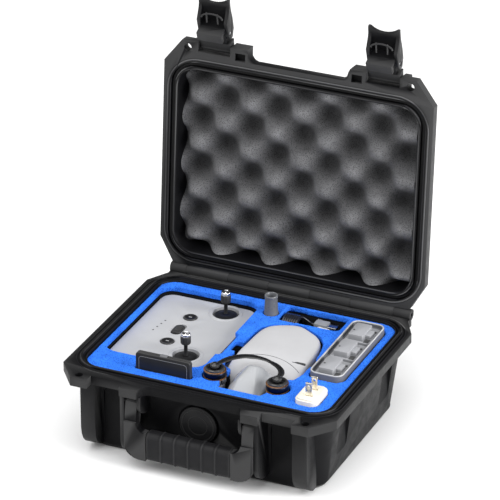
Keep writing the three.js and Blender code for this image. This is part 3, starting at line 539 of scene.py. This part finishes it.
def layer(radius, start_x, end_x, start_angle, turns):
    """One layer of the coil's turns, wound along X."""
    points = []
    count = int(turns * PER_TURN)
    for i in range(count + 1):
        t = i / count
        a = math.radians(start_angle + 360 * turns * t)
        points.append(Vector((COIL_CENTRE.x + start_x + (end_x - start_x) * t,
                              COIL_CENTRE.y + radius * math.cos(a), COIL_CENTRE.z + radius * math.sin(a))))
    return points


def step_in(angle):
    """A third of a turn over which the cord drops from the outer layer to the inner one."""
    points = []
    for i in range(1, 10):
        t = i / 10
        r = OUTER_TURN + (INNER_TURN - OUTER_TURN) * (t * t * (3 - 2 * t))
        a = math.radians(angle + 120 * t)
        points.append(Vector((COIL_CENTRE.x - COIL_REACH, COIL_CENTRE.y + r * math.cos(a),
                              COIL_CENTRE.z + r * math.sin(a))))
    return points


PLUG_A = edges("cable_plug_a")
PLUG_B = edges("cable_plug_b")
PLUG_Z = (PLUG_A[0].z + PLUG_A[1].z) / 2
START_ANGLE = 100
exit_a = Vector((PLUG_A[0].x, (PLUG_A[0].y + PLUG_A[1].y) / 2, PLUG_Z))
exit_b = Vector((PLUG_B[0].x, (PLUG_B[0].y + PLUG_B[1].y) / 2, PLUG_Z))
outer = layer(OUTER_TURN, COIL_REACH, -COIL_REACH, START_ANGLE, TURNS)
inner = layer(INNER_TURN, -COIL_REACH, COIL_REACH, START_ANGLE + 120, TURNS - 120 / 360)
lead_a = curve_through([exit_a, exit_a + Vector((-3.5, 0, 0.4)), Vector((29.6, 80.6, 74.6)),
                        Vector((26.6, 78.2, 77.5)), outer[0] + Vector((0.3, 2.4, 0.25)), outer[0]])
lead_b = curve_through([inner[-1], inner[-1] + Vector((0.4, -2.3, -0.5)), Vector((27.6, 68, 73.8)),
                        Vector((31.6, 67.2, 72.1)), exit_b + Vector((-4, 0, 0.3)), exit_b])
route = lead_a[:-1] + outer + step_in(START_ANGLE) + inner[:-1] + lead_b

cord_curve = bpy.data.curves.new("charging_cable", "CURVE")
cord_curve.dimensions = "3D"
cord_curve.bevel_depth = CORD_R * MM
cord_curve.bevel_resolution = 3
cord_curve.use_fill_caps = True
spline = cord_curve.splines.new("POLY")
spline.points.add(len(route) - 1)
for point, place in zip(spline.points, route):
    point.co = (*(place * MM), 1)
cord_curve.materials.append(M["cable_black"])
cable = bpy.data.objects.new("charging_cable", cord_curve)
scene.collection.objects.link(cable)
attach(cable, "cable")
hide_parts("cable_coil", "cable_lead_a", "cable_lead_b")


SHELL_HALF = (3.8, 2.1)
SHELL_LOW, SHELL_HIGH = 1.6, 5.8


def plug(name, node, shell_length, slot):
    """A moulded plug with three grip ribs and its hollow-ended metal shell."""
    low, high = edges(node)
    body_end = high.x - shell_length
    y0, y1 = low.y, high.y
    middle = (y0 + y1) / 2
    bm = bmesh.new()
    slab(bm, low.x, body_end, y0, y1, 2, low.z, high.z, 0.9)
    for k in range(3):
        x = low.x + 1.4 + k * 1.5
        slab(bm, x, x + 0.7, y0 - 0.25, y1 + 0.25, 0.3, low.z + 1, high.z + 0.2, 0.15, 2)
    body = add(name, bm, "cable", slot, nodes=(node,))
    smooth(body)
    bm = bmesh.new()
    z0, z1 = low.z + SHELL_LOW, low.z + SHELL_HIGH
    section = []
    half_y, half_z = SHELL_HALF
    for x, d in ((body_end - 1, 0), (high.x - 0.3, 0), (high.x, 0.2), (high.x - 0.2, 0.55),
                 (body_end + 0.5, 0.55)):
        shape = round_rect(-half_y + d, half_y - d, -half_z + d, half_z - d, 0.4, 3)
        section.append([(x, middle + y, (z0 + z1) / 2 + z) for y, z in shape])
    loft(bm, section)
    shell = add(name + "_shell", bm, "cable", slot, SILVER)
    smooth(shell)
    return [body, shell]


plug_pieces = [*plug("usb_plug_a", "cable_plug_a", 8.5, "plug_grey"),
               *plug("usb_plug_b", "cable_plug_b", 7, "plug_white")]


# ---------- floor and light ----------
FLOOR_HALF = 6.0
FLOOR_DROP = 0.0004
WORLD_LIGHT = 0.42
SUN_POWER = 2.55
SUN_SPREAD = 70


def floor():
    bm = bmesh.new()
    signs = ((-1, -1), (1, -1), (1, 1), (-1, 1))
    bm.faces.new([bm.verts.new((FLOOR_HALF * x, FLOOR_HALF * y, -FLOOR_DROP)) for x, y in signs])
    mesh = bpy.data.meshes.new("floor")
    bm.to_mesh(mesh)
    bm.free()
    s = Surface("floor", 0.75)
    s.color(s.ramp(s.noise(400, 2), [(0.3, grey(0.86)), (0.7, grey(0.9))]))
    mesh.materials.append(s.material)
    obj = bpy.data.objects.new("floor", mesh)
    scene.collection.objects.link(obj)


def softbox(name, place, aim, size, power):
    data = bpy.data.lights.new(name, "AREA")
    data.shape = "RECTANGLE"
    data.size, data.size_y = size
    data.energy = power
    obj = bpy.data.objects.new(name, data)
    obj.location = place
    obj.rotation_euler = (Vector(aim) - Vector(place)).to_track_quat("-Z", "Y").to_euler()
    scene.collection.objects.link(obj)


world = bpy.data.worlds.new("studio")
world.use_nodes = True
world.node_tree.nodes["Background"].inputs["Color"].default_value = grey(1)
world.node_tree.nodes["Background"].inputs["Strength"].default_value = WORLD_LIGHT
scene.world = world
scene.view_settings.view_transform = "Standard"
floor()
sun_data = bpy.data.lights.new("overhead", "SUN")
sun_data.energy = SUN_POWER
sun_data.angle = math.radians(SUN_SPREAD)
sun = bpy.data.objects.new("overhead", sun_data)
sun.rotation_euler = (math.radians(14), math.radians(-10), 0)
scene.collection.objects.link(sun)
softbox("right", (1.5, -0.1, 0.6), (0.05, 0, 0.12), (0.8, 0.9), 34)
softbox("left", (-1.2, -1.3, 0.9), (-0.02, 0, 0.2), (0.7, 0.8), 9)


# ---------- hard case ----------
finish_cad("base_shell", M["shell_black"], 0.7, 2)
finish_cad("lid_shell", M["lid_black"], 0.7, 2)
for node in ("latch_link_left", "latch_link_right", "latch_lever_left", "latch_lever_right"):
    finish_cad(node, M["hard_black"], 0.5, 2)


def lever_ridges():
    """An arc and two upright ribs that stand clear in front of each lever's inner face."""
    for name in ("left", "right"):
        low, high = edges("latch_lever_" + name)
        x = (low.x + high.x) / 2
        bm = bmesh.new()
        arc = [(x + 10.5 * math.cos(a), low.y + 7.2, high.z - 19 + 4.5 * math.sin(a))
               for a in (math.pi * i / 16 for i in range(17))]
        tube(bm, arc, 0.9, 8)
        for dx in (-5.5, 5.5):
            tube(bm, [(x + dx, low.y + 7.2, high.z - 14), (x + dx, low.y + 8.4, high.z - 24)], 0.8, 8)
        smooth(add("lever_ridges_" + name, bm, "latch_lever_" + name, "hard_black"))


lever_ridges()
finish_cad("handle_frame", M["hard_black"], 1.6, 3)
finish_cad("vent_cap", M["hard_black"], 0.9, 3)
finish_cad("vent_seal", M["seal_rubber"], 0.1, 1)
finish_cad("lid_gasket", M["seal_rubber"], 0.5, 2)
for node in ("hinge_pin", "handle_pin_left", "handle_pin_right", "latch_pin_left", "latch_pin_right",
             "lever_pin_left", "lever_pin_right"):
    finish_cad(node, M["steel_pin"], 0.2, 2)


GRIP_RIBS = [13.5 * k for k in range(-2, 3)]
GRIP_RINGS = 120


def ribbed_grip():
    """A soft sleeve with shallow ribs round the handle's bar."""
    low, high = edges("handle_grip")
    cy, cz = (low.y + high.y) / 2, (low.z + high.z) / 2
    hy, hz = (high.y - low.y) / 2, (high.z - low.z) / 2
    bm = bmesh.new()
    rings = []
    for i in range(GRIP_RINGS + 1):
        x = low.x + (high.x - low.x) * i / GRIP_RINGS
        end = min(x - low.x, high.x - x)
        inset = 0.9 * max(0, 1 - end / 1.2) ** 2
        swell = sum(0.55 * math.exp(-((x - r) / 0.9) ** 2) for r in GRIP_RIBS)
        d = inset - swell + 0.5
        rings.append([(x, cy + y, cz + z) for y, z in round_rect(-hy + d, hy - d, -hz + d, hz - d, 5, 6)])
    loft(bm, rings)
    smooth(add("ribbed_grip", bm, "handle", "grip_rubber", nodes=("handle_grip",)))


ribbed_grip()


def vent_rings():
    """Two raised rings on the vent cap."""
    low, high = edges("vent_cap")
    cz = (low.z + high.z) / 2
    for name, r, wire in (("vent_ring_outer", 15.6, 0.45), ("vent_ring_inner", 9.4, 0.35)):
        bm = bmesh.new()
        tube(bm, [(r * math.cos(a), low.y, cz + r * math.sin(a))
                  for a in (2 * math.pi * i / 64 for i in range(64))], wire, 8, True)
        smooth(add(name, bm, "base", "hard_black"))


vent_rings()


# ---------- foam ----------
def soft_block(name, node, slot, voxel, waver):
    """Cut foam: the CAD block's shape with softened edges and a slightly uneven surface."""
    source = frame["nodes"][node]
    mesh = source.data.copy()
    obj = bpy.data.objects.new(name, mesh)
    scene.collection.objects.link(obj)
    mesh.materials.clear()
    mesh.materials.append(M[slot])
    bm = bmesh.new()
    bm.from_mesh(mesh)
    bmesh.ops.remove_doubles(bm, verts=bm.verts, dist=WELD_GAP * MM)
    bm.to_mesh(mesh)
    bm.free()
    remesh = obj.modifiers.new("remesh", "REMESH")
    remesh.mode = "VOXEL"
    remesh.voxel_size = voxel * MM
    relax = obj.modifiers.new("relax", "SMOOTH")
    relax.factor = 0.5
    relax.iterations = 2
    final = bpy.data.meshes.new_from_object(obj.evaluated_get(bpy.context.evaluated_depsgraph_get()))
    obj.modifiers.clear()
    obj.data = final
    for v in final.vertices:
        push = noise.noise_vector(v.co / (2.4 * MM)) * waver * MM
        v.co += push
    smooth(obj)
    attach(obj, "base")
    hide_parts(node)


soft_block("foam_blue_sheet", "foam_blue_top", "foam_blue", 1.2, 0.16)
soft_block("foam_block", "foam_lower", "foam_black", 2.0, 0.25)

CLOSED_LOW = 83.8
CLOSED_HIGH = 118.9
EGG_PITCH = (51.75, 47.75)
EGG_RISE = 13
EGG_PEAK = (28, 7)
EGG_HOLD = (108, -86)                # past this right and this front the wave keeps its height
EGG_PRESSED = (72, 1.5)              # from here to the hinge side the waves are pressed together
EGG_HALF = (118.8, 90.6)
EGG_CORNER = 14
EGG_GRID = (150, 116)


def egg_crate():
    """Convoluted foam: staggered peaks on a block that fills the lid."""
    across, down = EGG_GRID
    outline = round_rect(-EGG_HALF[0], EGG_HALF[0], -EGG_HALF[1], EGG_HALF[1], EGG_CORNER, 12)

    def border(dx, dy):
        """Distance from the middle to the rounded outline in a direction."""
        reach = 1e9
        n = len(outline)
        for i in range(n):
            (ax, ay), (bx, by) = outline[i], outline[(i + 1) % n]
            ex, ey = bx - ax, by - ay
            det = dx * ey - dy * ex
            if abs(det) < 1e-9:
                continue
            t = (ax * ey - ay * ex) / det
            s = (ax * dy - ay * dx) / det
            if t > 0 and -1e-6 <= s <= 1 + 1e-6:
                reach = min(reach, t)
        return reach

    bm = bmesh.new()
    depth = bm.verts.layers.float.new("depth")
    grid = []
    for j in range(down + 1):
        row = []
        for i in range(across + 1):
            u, v = 2 * i / across - 1, 2 * j / down - 1
            m = max(abs(u), abs(v))
            x, y = u * EGG_HALF[0], v * EGG_HALF[1]
            if m > 1e-6:
                k = border(x / m, y / m)
                x, y = x * min(1.0, k), y * min(1.0, k)
            hx = min(x, EGG_HOLD[0])
            hy = max(y, EGG_HOLD[1]) + max(0, y - EGG_PRESSED[0]) * (EGG_PRESSED[1] - 1)
            shaped = (math.cos(2 * math.pi * (hx - EGG_PEAK[0]) / EGG_PITCH[0])
                      * math.cos(2 * math.pi * (hy - EGG_PEAK[1]) / EGG_PITCH[1]))
            ripple = noise.noise(Vector((x, y, 0)) / 3.2) * 0.3
            z = CLOSED_LOW + 0.4 + EGG_RISE * (1 - shaped) + ripple
            vertex = bm.verts.new(lid_place(x, y, z))
            # The depth of each point, which the foam's material turns into painted shade in the valleys.
            vertex[depth] = (1 - shaped) / 2
            row.append(vertex)
        grid.append(row)
    for j in range(down):
        for i in range(across):
            bm.faces.new((grid[j][i], grid[j][i + 1], grid[j + 1][i + 1], grid[j + 1][i]))
    rim = ([grid[0][i] for i in range(across)] + [grid[j][across] for j in range(down)]
           + [grid[down][i] for i in range(across, 0, -1)] + [grid[j][0] for j in range(down, 0, -1)])
    back = LID_TURN.to_3x3() @ Vector((0, 0, 1))
    roof = (lid_place(0, 0, CLOSED_HIGH)).dot(back)
    previous = rim
    for share in (0.5, 1.0):
        ring = [bm.verts.new(v.co + back * (roof - v.co.dot(back)) * share) for v in rim]
        for i in range(len(ring)):
            j = (i + 1) % len(ring)
            bm.faces.new((previous[i], previous[j], ring[j], ring[i]))
        previous = ring
    bm.faces.new(previous)
    obj = add("egg_crate_foam", bm, "lid", "foam_egg_crate", nodes=("lid_foam",))
    smooth(obj)
    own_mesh(obj)


egg_crate()


# ---------- controller ----------
for node in ("controller_front", "controller_back"):
    finish_cad(node, M["controller_grey"], 1.4, 4)
CONTROL_TOP = edges("controller_front")[1].z


def stick(name):
    """A pale ring, a dimpled dome, and a knurled knob with a bright cap."""
    low, high = edges("stick_dome_" + name)
    x, y = (low.x + high.x) / 2, (low.y + high.y) / 2
    top = high.z
    bm = bmesh.new()
    lathe(bm, x, y, [(12.6, CONTROL_TOP - 0.6), (12.7, CONTROL_TOP + 0.3), (13.2, CONTROL_TOP + 0.7),
                     (15.4, CONTROL_TOP + 0.6), (16.1, CONTROL_TOP + 0.1), (16.2, CONTROL_TOP - 0.3)], 64)
    bm.faces.ensure_lookup_table()
    caps = [f for f in bm.faces if len(f.verts) > 8]
    bmesh.ops.delete(bm, geom=caps, context="FACES_ONLY")
    ring = add("stick_ring_" + name, bm, "controller", "controller_grey", RIM_LIGHT)
    thick = ring.modifiers.new("thick", "SOLIDIFY")
    thick.thickness = 0.25 * MM
    smooth(ring)

    def dimples(a, r, z):
        return 0.12 * math.cos(12 * a) if 4 < r < 10 else 0

    bm = bmesh.new()
    lathe(bm, x, y, [(5.8, top - 5), (10.5, top - 2.6), (11.5, top - 1.1), (10.6, top - 0.5),
                     (9.8, top - 0.75), (8.4, top - 0.2), (6, top), (3.2, top),
                     (2.3, top - 0.4)], 48, dimples)
    smooth(add("dome_" + name, bm, "stick_dome_" + name, "control_black", nodes=("stick_dome_" + name,)))

    foot, tip = edges("stick_knob_" + name)

    def knurl(a, r, z):
        return 0.16 * math.cos(22 * a) if 4.5 < r and z > tip.z - 10 else 0

    k = tip.z
    bm = bmesh.new()
    lathe(bm, x, y, [(1.75, foot.z), (1.75, k - 12.4), (2.1, k - 11.8), (3.9, k - 11), (4.6, k - 10.2),
                     (4.7, k - 9.4), (4.7, k - 3.6), (4.5, k - 3.1), (4.2, k - 2.9)], 88, knurl)
    smooth(add("knob_" + name, bm, "stick_knob_" + name, "control_black", nodes=("stick_knob_" + name,)))
    bm = bmesh.new()
    lathe(bm, x, y, [(4.1, k - 3.2), (4.35, k - 2.8), (4.35, k - 0.8), (4, k - 0.3), (3.4, k),
                     (2.4, k - 0.5), (0.9, k - 0.7), (0.3, k - 0.2)], 48,
          lambda a, r, z: 0.22 * math.cos(8 * a) if r > 3.5 else 0)
    smooth(add("knob_cap_" + name, bm, "stick_knob_" + name, "control_black", CHROME))


for which in ("rear", "front"):
    stick(which)


def buttons():
    """The two round buttons, the mode switch and the row of charge lights."""
    for name in ("button_rear", "button_front"):
        low, high = edges(name)
        x, y = (low.x + high.x) / 2, (low.y + high.y) / 2
        bm = bmesh.new()
        lathe(bm, x, y, [(6.3, low.z), (6.4, high.z - 0.9), (6.1, high.z - 0.3), (5.4, high.z),
                         (4.6, high.z - 0.15), (2.8, high.z - 0.5), (0.6, high.z - 0.6)], 48)
        smooth(add(name + "_cap", bm, name, "control_black", nodes=(name,)))
        bm = bmesh.new()
        slab(bm, x - 1.6, x + 1.6, y - 0.45, y + 0.45, 0.3, high.z - 0.6, high.z - 0.22, 0.1, 3)
        smooth(add(name + "_mark", bm, name, "control_black", RIM_LIGHT))
    low, high = edges("mode_switch")
    bm = bmesh.new()
    slab(bm, low.x, high.x, low.y, high.y, 4, low.z, high.z - 0.6, 0.5, 8)
    middle = (low.y + high.y) / 2
    for k in range(5):
        y = middle - 3.6 + 1.8 * k
        slab(bm, low.x + 1.6, high.x - 1.6, y - 0.4, y + 0.4, 0.3, high.z - 0.9, high.z, 0.2, 3)
    smooth(add("mode_switch_cap", bm, "mode_switch", "control_black", nodes=("mode_switch",)))
    left = edges("controller_front")[0].x
    for k in range(4):
        bm = bmesh.new()
        lathe(bm, left + 20.2 + 0.9 * k, 8 + 7 * k, [(0.9, CONTROL_TOP - 0.5), (0.9, CONTROL_TOP + 0.05),
                                                    (0.6, CONTROL_TOP + 0.12)], 20)
        smooth(add(f"charge_light_{k + 1}", bm, "controller", "control_black"))


buttons()


# ---------- drone ----------
DRONE_LOW, DRONE_HIGH = edges("drone_body")
NOSE = (32, -66)
NOSE_R = 40
DRONE_CENTRE = (33, 14)
DRONE_SIDE = [(70, -28), (70, 4), (68, 20), (65, 33.5), (58, 43), (49.5, 48), (38, 55), (28.5, 55.6),
              (10.8, 48), (5, 41.5), (2.2, 29), (1.2, -3), (-2, -28)]


def drone_outline():
    """The shell's plan: round tail, straight sides, and a front edge that arches round the nose."""
    front = []
    for i in range(17):
        a = math.radians(150 - 120 * i / 16)
        front.append((NOSE[0] + NOSE_R * math.cos(a), NOSE[1] + NOSE_R * math.sin(a)))
    tail = rounded([front[-1], *DRONE_SIDE, front[0]], 2)
    tail = [p for p in tail if p[1] > front[0][1] + 1]
    return tail, front


def drone_shell():
    """The folded drone: its crowned shell, seam, vent, two arms and belly."""
    tail, front = drone_outline()

    def from_front(i):
        return (tail[i][0] - front[-1][0]) ** 2 + (tail[i][1] - front[-1][1]) ** 2

    start = min(range(len(tail)), key=from_front)
    plan = tail[start:] + tail[:start] + front
    cx, cy = DRONE_CENTRE
    top = DRONE_HIGH.z

    def height(x, y):
        fall = max(0, -y - 2) / 40
        side = abs(x - cx) / 36
        return top + 2.2 - 1.8 * side ** 2 - 13 * fall ** 1.6 - 0.8 * max(0, (y - 25) / 32) ** 2

    rings = []
    low = top - 26
    for z_drop, share in ((26, 0.985), (20, 1.0), (8, 1.0)):
        rings.append([(cx + (x - cx) * share, cy + (y - cy) * share, max(low, height(x, y) - z_drop))
                      for x, y in plan])
    for share, drop in ((0.995, 4), (0.985, 2.2), (0.965, 1.0), (0.935, 0.35), (0.9, 0.1), (0.8, 0),
                        (0.65, 0), (0.5, 0), (0.35, 0), (0.2, 0), (0.08, 0)):
        ring = []
        for x, y in plan:
            px, py = cx + (x - cx) * share, cy + (y - cy) * share
            ring.append((px, py, height(px, py) - drop))
        rings.append(ring)
    bm = bmesh.new()
    loft(bm, rings)
    smooth(add("drone_shell", bm, "drone", "drone_grey", nodes=("drone_body",)))

    bm = bmesh.new()
    arc = []
    for i in range(31):
        a = math.radians(146 - 112 * i / 30)
        x, y = NOSE[0] + 56 * math.cos(a), NOSE[1] + 56 * math.sin(a)
        arc.append((x, y, height(x, y) - 0.05))
    arc = [p for p in arc if -1 < p[0] < 66]
    tube(bm, arc, 0.22, 6)
    smooth(add("drone_seam", bm, "drone", "drone_grey", SEAM))

    bm = bmesh.new()
    slab(bm, 54, 67.6, -11.5, -8.8, 1.2, height(61, -10) - 3, height(61, -10) + 0.15, 0.4, 4)
    smooth(add("drone_vent", bm, "drone", "drone_grey", SEAM))

    for name, points in (("arm_right", [(66.5, -14, -9), (68, -30, -9), (67, -46, -8), (63.5, -56, -6)]),
                         ("arm_left", [(-1.5, -20, -10), (-3, -34, -10), (-3, -46, -9), (-1, -54, -7)])):
        bm = bmesh.new()
        tube(bm, [(x, y, FOAM_TOP + z) for x, y, z in (tuple(p) for p in curve_through(points, 6))], 3.6, 14)
        smooth(add("drone_" + name, bm, "drone", "propeller_black"))

    bm = bmesh.new()
    slab(bm, 9, 53, -79, -30, 7, DRONE_LOW.z + 0.2, FOAM_TOP - 31, 3, 6)
    slab(bm, -2, 66, -40, 54, 12, DRONE_LOW.z + 0.2, low + 1, 3, 6)
    smooth(add("drone_belly", bm, "drone", "drone_grey"))


drone_shell()


def gimbal_cover():
    """A faceted cover that slopes down to the front from a peak."""
    low, high = edges("gimbal_cover")
    x0, x1 = low.x, high.x
    middle = (x0 + x1) / 2
    z = FOAM_TOP
    rows = [
        [(x0 + 2, -36, z - 22), (x0 + 2, -36, z - 3), (middle - 7, -38, z + 4.5), (middle + 7, -38, z + 4.5),
         (x1 - 2, -36, z - 3), (x1 - 2, -36, z - 22)],
        [(x0, -48, z - 26), (x0, -48, z - 5), (middle - 4, -44, z + 8), (middle + 4, -44, z + 8),
         (x1, -48, z - 5), (x1, -48, z - 26)],
        [(x0, -62, z - 28), (x0, -62, z - 8), (middle - 9, -60, z + 1), (middle + 9, -60, z + 1),
         (x1, -62, z - 8), (x1, -62, z - 28)],
        [(x0 + 1, -72, z - 28), (x0 + 1, -72, z - 12), (middle - 10, -72, z - 7), (middle + 10, -72, z - 7),
         (x1 - 1, -72, z - 12), (x1 - 1, -72, z - 28)],
        [(x0 + 4, -77.5, z - 28), (x0 + 4, -77.5, z - 17), (middle - 9, -77.5, z - 14),
         (middle + 9, -77.5, z - 14), (x1 - 4, -77.5, z - 17), (x1 - 4, -77.5, z - 28)],
    ]
    bm = bmesh.new()
    loft(bm, rows)
    obj = add("camera_cover", bm, "drone", "cover_grey", nodes=("gimbal_cover",))
    fine = obj.modifiers.new("fine", "BEVEL")
    fine.width = 2.2 * MM
    fine.segments = 4
    fine.limit_method = "ANGLE"
    fine.angle_limit = math.radians(12)
    smooth(obj)


gimbal_cover()


def motor(name):
    """A stand, slotted windings, a dark band between two copper rings, and a vented top."""
    low, high = edges("motor_" + name)
    x, y = (low.x + high.x) / 2, (low.y + high.y) / 2
    r = (high.x - low.x) / 2
    z = FOAM_TOP
    top = high.z
    parts = [
        ("motor_stand_", [(r - 1.6, low.z), (r - 1.2, z - 9), (r - 0.5, z - 7)], "drone_grey",
         M["battery_grey"], None),
        ("motor_slots_", [(r - 0.5, z - 7), (r - 0.1, z - 6.4), (r - 0.1, z - 2.2), (r - 0.6, z - 1.8)],
         "motor_metal", SILVER, lambda a, q, h: -0.9 if math.cos(12 * a) > 0.55 else 0),
        ("motor_lower_ring_",
         [(r - 0.5, z - 1.9), (r + 0.1, z - 1.6), (r + 0.1, z - 0.6), (r - 0.5, z - 0.3)],
         "motor_metal", COPPER, None),
        ("motor_band_", [(r - 0.3, z - 0.4), (r, z), (r, z + 4.4), (r - 0.3, z + 4.8)], "motor_metal",
         M["motor_metal"], None),
        ("motor_upper_ring_",
         [(r - 0.4, z + 4.7), (r + 0.05, z + 5), (r + 0.05, z + 5.8), (r - 0.9, z + 6.1)],
         "motor_metal", COPPER, None),
        ("motor_top_", [(r - 1, z + 5.8), (r - 1.2, top - 0.6), (r - 2.4, top), (r - 4.6, top - 0.5),
                        (2.4, top - 0.8), (1.6, top)], "motor_metal", M["propeller_black"],
         lambda a, q, h: -0.5 if 3 < q < r - 2 and math.cos(6 * a) > 0.3 else 0),
    ]
    for label, profile, slot, material, ripple in parts:
        bm = bmesh.new()
        lathe(bm, x, y, profile, 72, ripple)
        nodes = ("motor_" + name,) if label == "motor_band_" else ()
        smooth(add(label + name, bm, "drone", slot, material, nodes))


for which in ("left", "right"):
    motor(which)


def blades():
    """One folded blade from each motor, arching back over the nose."""
    low_left, high_left = edges("motor_left")
    low_right, high_right = edges("motor_right")
    starts = {"left": ((low_left.x + high_left.x) / 2, (low_left.y + high_left.y) / 2),
              "right": ((low_right.x + high_right.x) / 2, (low_right.y + high_right.y) / 2)}
    lift = high_left.z + 0.6
    paths = {
        "left": [(0, 0), (7, 18), (20, 30), (38, 31), (50, 24)],
        "right": [(0, 0), (-3, 16), (-14, 28), (-30, 34), (-44, 32)],
    }
    for name, (sx, sy) in starts.items():
        points = curve_through([(sx + x, sy + y, 0) for x, y in paths[name]], 8)
        bm = bmesh.new()
        rings = []
        for i, p in enumerate(points):
            t = i / (len(points) - 1)
            ahead = points[min(i + 1, len(points) - 1)] - points[max(i - 1, 0)]
            side = Vector((-ahead.y, ahead.x, 0)).normalized()
            wide = 1.0 + 3.1 * math.sin(math.pi * min(1, t * 1.02)) ** 0.8 * (1 - 0.55 * t)
            twist = 0.9 * (1 - t)
            z = lift + (1.2 if name == "left" else 0.2) - 3.2 * t
            ring = []
            for k in range(10):
                a = 2 * math.pi * k / 10
                ring.append(tuple(p + side * wide * math.cos(a)
                                  + Vector((0, 0, z + 0.55 * math.sin(a) + twist * math.cos(a)))))
            rings.append(ring)
        loft(bm, rings)
        lathe(bm, sx, sy, [(4.2, lift - 0.2), (4.4, lift + 1.8), (3.8, lift + 2.6), (2.2, lift + 3.2),
                           (1.6, lift + 3.9), (0.8, lift + 4)], 32)
        smooth(add("blades_" + name, bm, "drone", "propeller_black", nodes=("propeller_" + name,)))


blades()


# ---------- battery hub, charger and small goods ----------
def hub():
    """The hub with its pale rim, and the three batteries' ends, with dark pads painted as shade at the foot
    of their lower steps.
    """
    finish_cad("battery_hub", M["hub_grey"], 0.6, 3)
    low, high = edges("battery_hub")
    bm = bmesh.new()
    rim = round_rect(low.x + 1, high.x - 1, low.y + 1, high.y - 1, 7, 8)
    tube(bm, [(x, y, high.z) for x, y in rim], 0.75, 8, True)
    smooth(add("hub_rim", bm, "battery_hub", "hub_grey", RIM_LIGHT))
    for i in (1, 2, 3):
        lo, hi = edges(f"battery_{i}")
        top = hi.z
        bm = bmesh.new()
        slab(bm, lo.x, hi.x, lo.y, hi.y, 2, lo.z, top + 0.8, 0.5, 4)
        slab(bm, lo.x + 3.5, hi.x - 7, lo.y + 2.5, hi.y - 4.5, 1.2, top, top + 6.4, 0.5, 4)
        slab(bm, lo.x + 8, hi.x - 2, lo.y + 9.5, hi.y - 10.5, 1, top, top + 4.2, 0.4, 4)
        slab(bm, lo.x + 0.8, lo.x + 4.4, hi.y - 9, hi.y - 2, 0.8, top, top + 3, 0.3, 3)
        smooth(add(f"battery_case_{i}", bm, f"battery_{i}", "battery_grey", nodes=(f"battery_{i}",)))
        # Painted shade: two dark pads at the foot of the lower step stand in for the shade in its notches;
        # the small square on the upper step is a dark dot.
        bm = bmesh.new()
        slab(bm, hi.x - 6.2, hi.x - 1.2, lo.y + 1.2, lo.y + 8.4, 0.6, top + 0.4, top + 1.1, 0.15, 3)
        slab(bm, lo.x + 5, lo.x + 6.8, lo.y + 11, lo.y + 12.8, 0.3, top + 6.2, top + 6.55, 0.1, 3)
        slab(bm, hi.x - 6.2, hi.x - 1.2, hi.y - 9.4, hi.y - 6, 0.6, top + 0.4, top + 1.1, 0.15, 3)
        smooth(add(f"battery_notch_shade_and_dot_{i}", bm, f"battery_{i}", "battery_grey", M["control_black"]))


hub()

finish_cad("charger_body", M["charger_white"], 1.1, 4)


def prongs():
    """Two blades, each with a round hole near its tip."""
    low, high = edges("charger_prongs")
    x = (low.x + high.x) / 2
    foot, tip = low.z + 2.5, high.z
    hole_z = tip - 3.6
    bm = bmesh.new()
    for y in (low.y + 0.75, high.y - 0.75):
        count = 48
        outline, hole = [], []
        for i in range(count):
            a = 2 * math.pi * i / count
            dx, dz = math.cos(a), math.sin(a)
            up = (tip - hole_z) if dz > 0 else (hole_z - foot)
            reach = min(3.1 / max(abs(dx), 1e-6), up / max(abs(dz), 1e-6))
            outline.append((dx * reach, hole_z + dz * reach))
            hole.append((1.1 * dx, hole_z + 1.1 * dz))
        rows = []
        for yy in (y - 0.65, y + 0.65):
            rows.append(([bm.verts.new(at(x + px, yy, pz)) for px, pz in outline],
                         [bm.verts.new(at(x + px, yy, pz)) for px, pz in hole]))
        (front_out, front_in), (back_out, back_in) = rows
        for i in range(count):
            j = (i + 1) % count
            bm.faces.new((front_out[i], front_out[j], front_in[j], front_in[i]))
            bm.faces.new((back_out[j], back_out[i], back_in[i], back_in[j]))
            bm.faces.new((front_out[j], front_out[i], back_out[i], back_out[j]))
            bm.faces.new((front_in[i], front_in[j], back_in[j], back_in[i]))
    obj = add("blades_of_charger", bm, "charger", "prong_metal", nodes=("charger_prongs",))
    round_edges(obj, 0.2, 2)


prongs()


def card_case():
    """The two halves, a line round the front one, and the catch on top."""
    for node in ("card_case_front", "card_case_back"):
        finish_cad(node, M["case_black"], 0.8, 3)
    low, high = edges("card_case_front")
    line = round_rect(low.x + 3.4, high.x - 3.4, low.z + 3, high.z - 3.4, 3, 6)
    bm = bmesh.new()
    tube(bm, [(x, low.y, z) for x, z in line], 0.3, 6, True)
    smooth(add("case_frame_line", bm, "card_case", "case_black", M["hub_grey"]))
    middle = (low.x + high.x) / 2
    back = edges("card_case_back")[1]
    bm = bmesh.new()
    slab(bm, middle - 3.4, middle + 3.4, low.y + 0.6, back.y - 0.6, 0.8, high.z - 1, high.z + 0.7, 0.3, 3)
    smooth(add("case_catch", bm, "card_case", "case_black", M["hub_grey"]))


card_case()


def tool_tube():
    """An open tube with a fluted upper stretch and a rounded lip."""
    low, high = edges("tool_tube")
    x, y = (low.x + high.x) / 2, (low.y + high.y) / 2
    r = (high.x - low.x) / 2
    z = FOAM_TOP
    bm = bmesh.new()
    lathe(bm, x, y, [(r - 0.5, low.z), (r, low.z + 1), (r, z + 1.5), (r - 0.3, z + 2.2),
                     (r - 0.9, high.z - 2.4), (r - 0.6, high.z - 2), (r - 0.6, high.z - 0.4),
                     (r - 0.9, high.z), (r - 1.7, high.z), (r - 2.1, high.z - 0.5), (r - 2.5, z + 4),
                     (r - 2.9, low.z + 3)], 56,
          lambda a, q, h: 0.1 * math.cos(18 * a) if z + 4 < h < high.z - 3 else 0)
    smooth(add("tool_tube_body", bm, "tool_tube", "tube_grey", nodes=("tool_tube",)))


tool_tube()
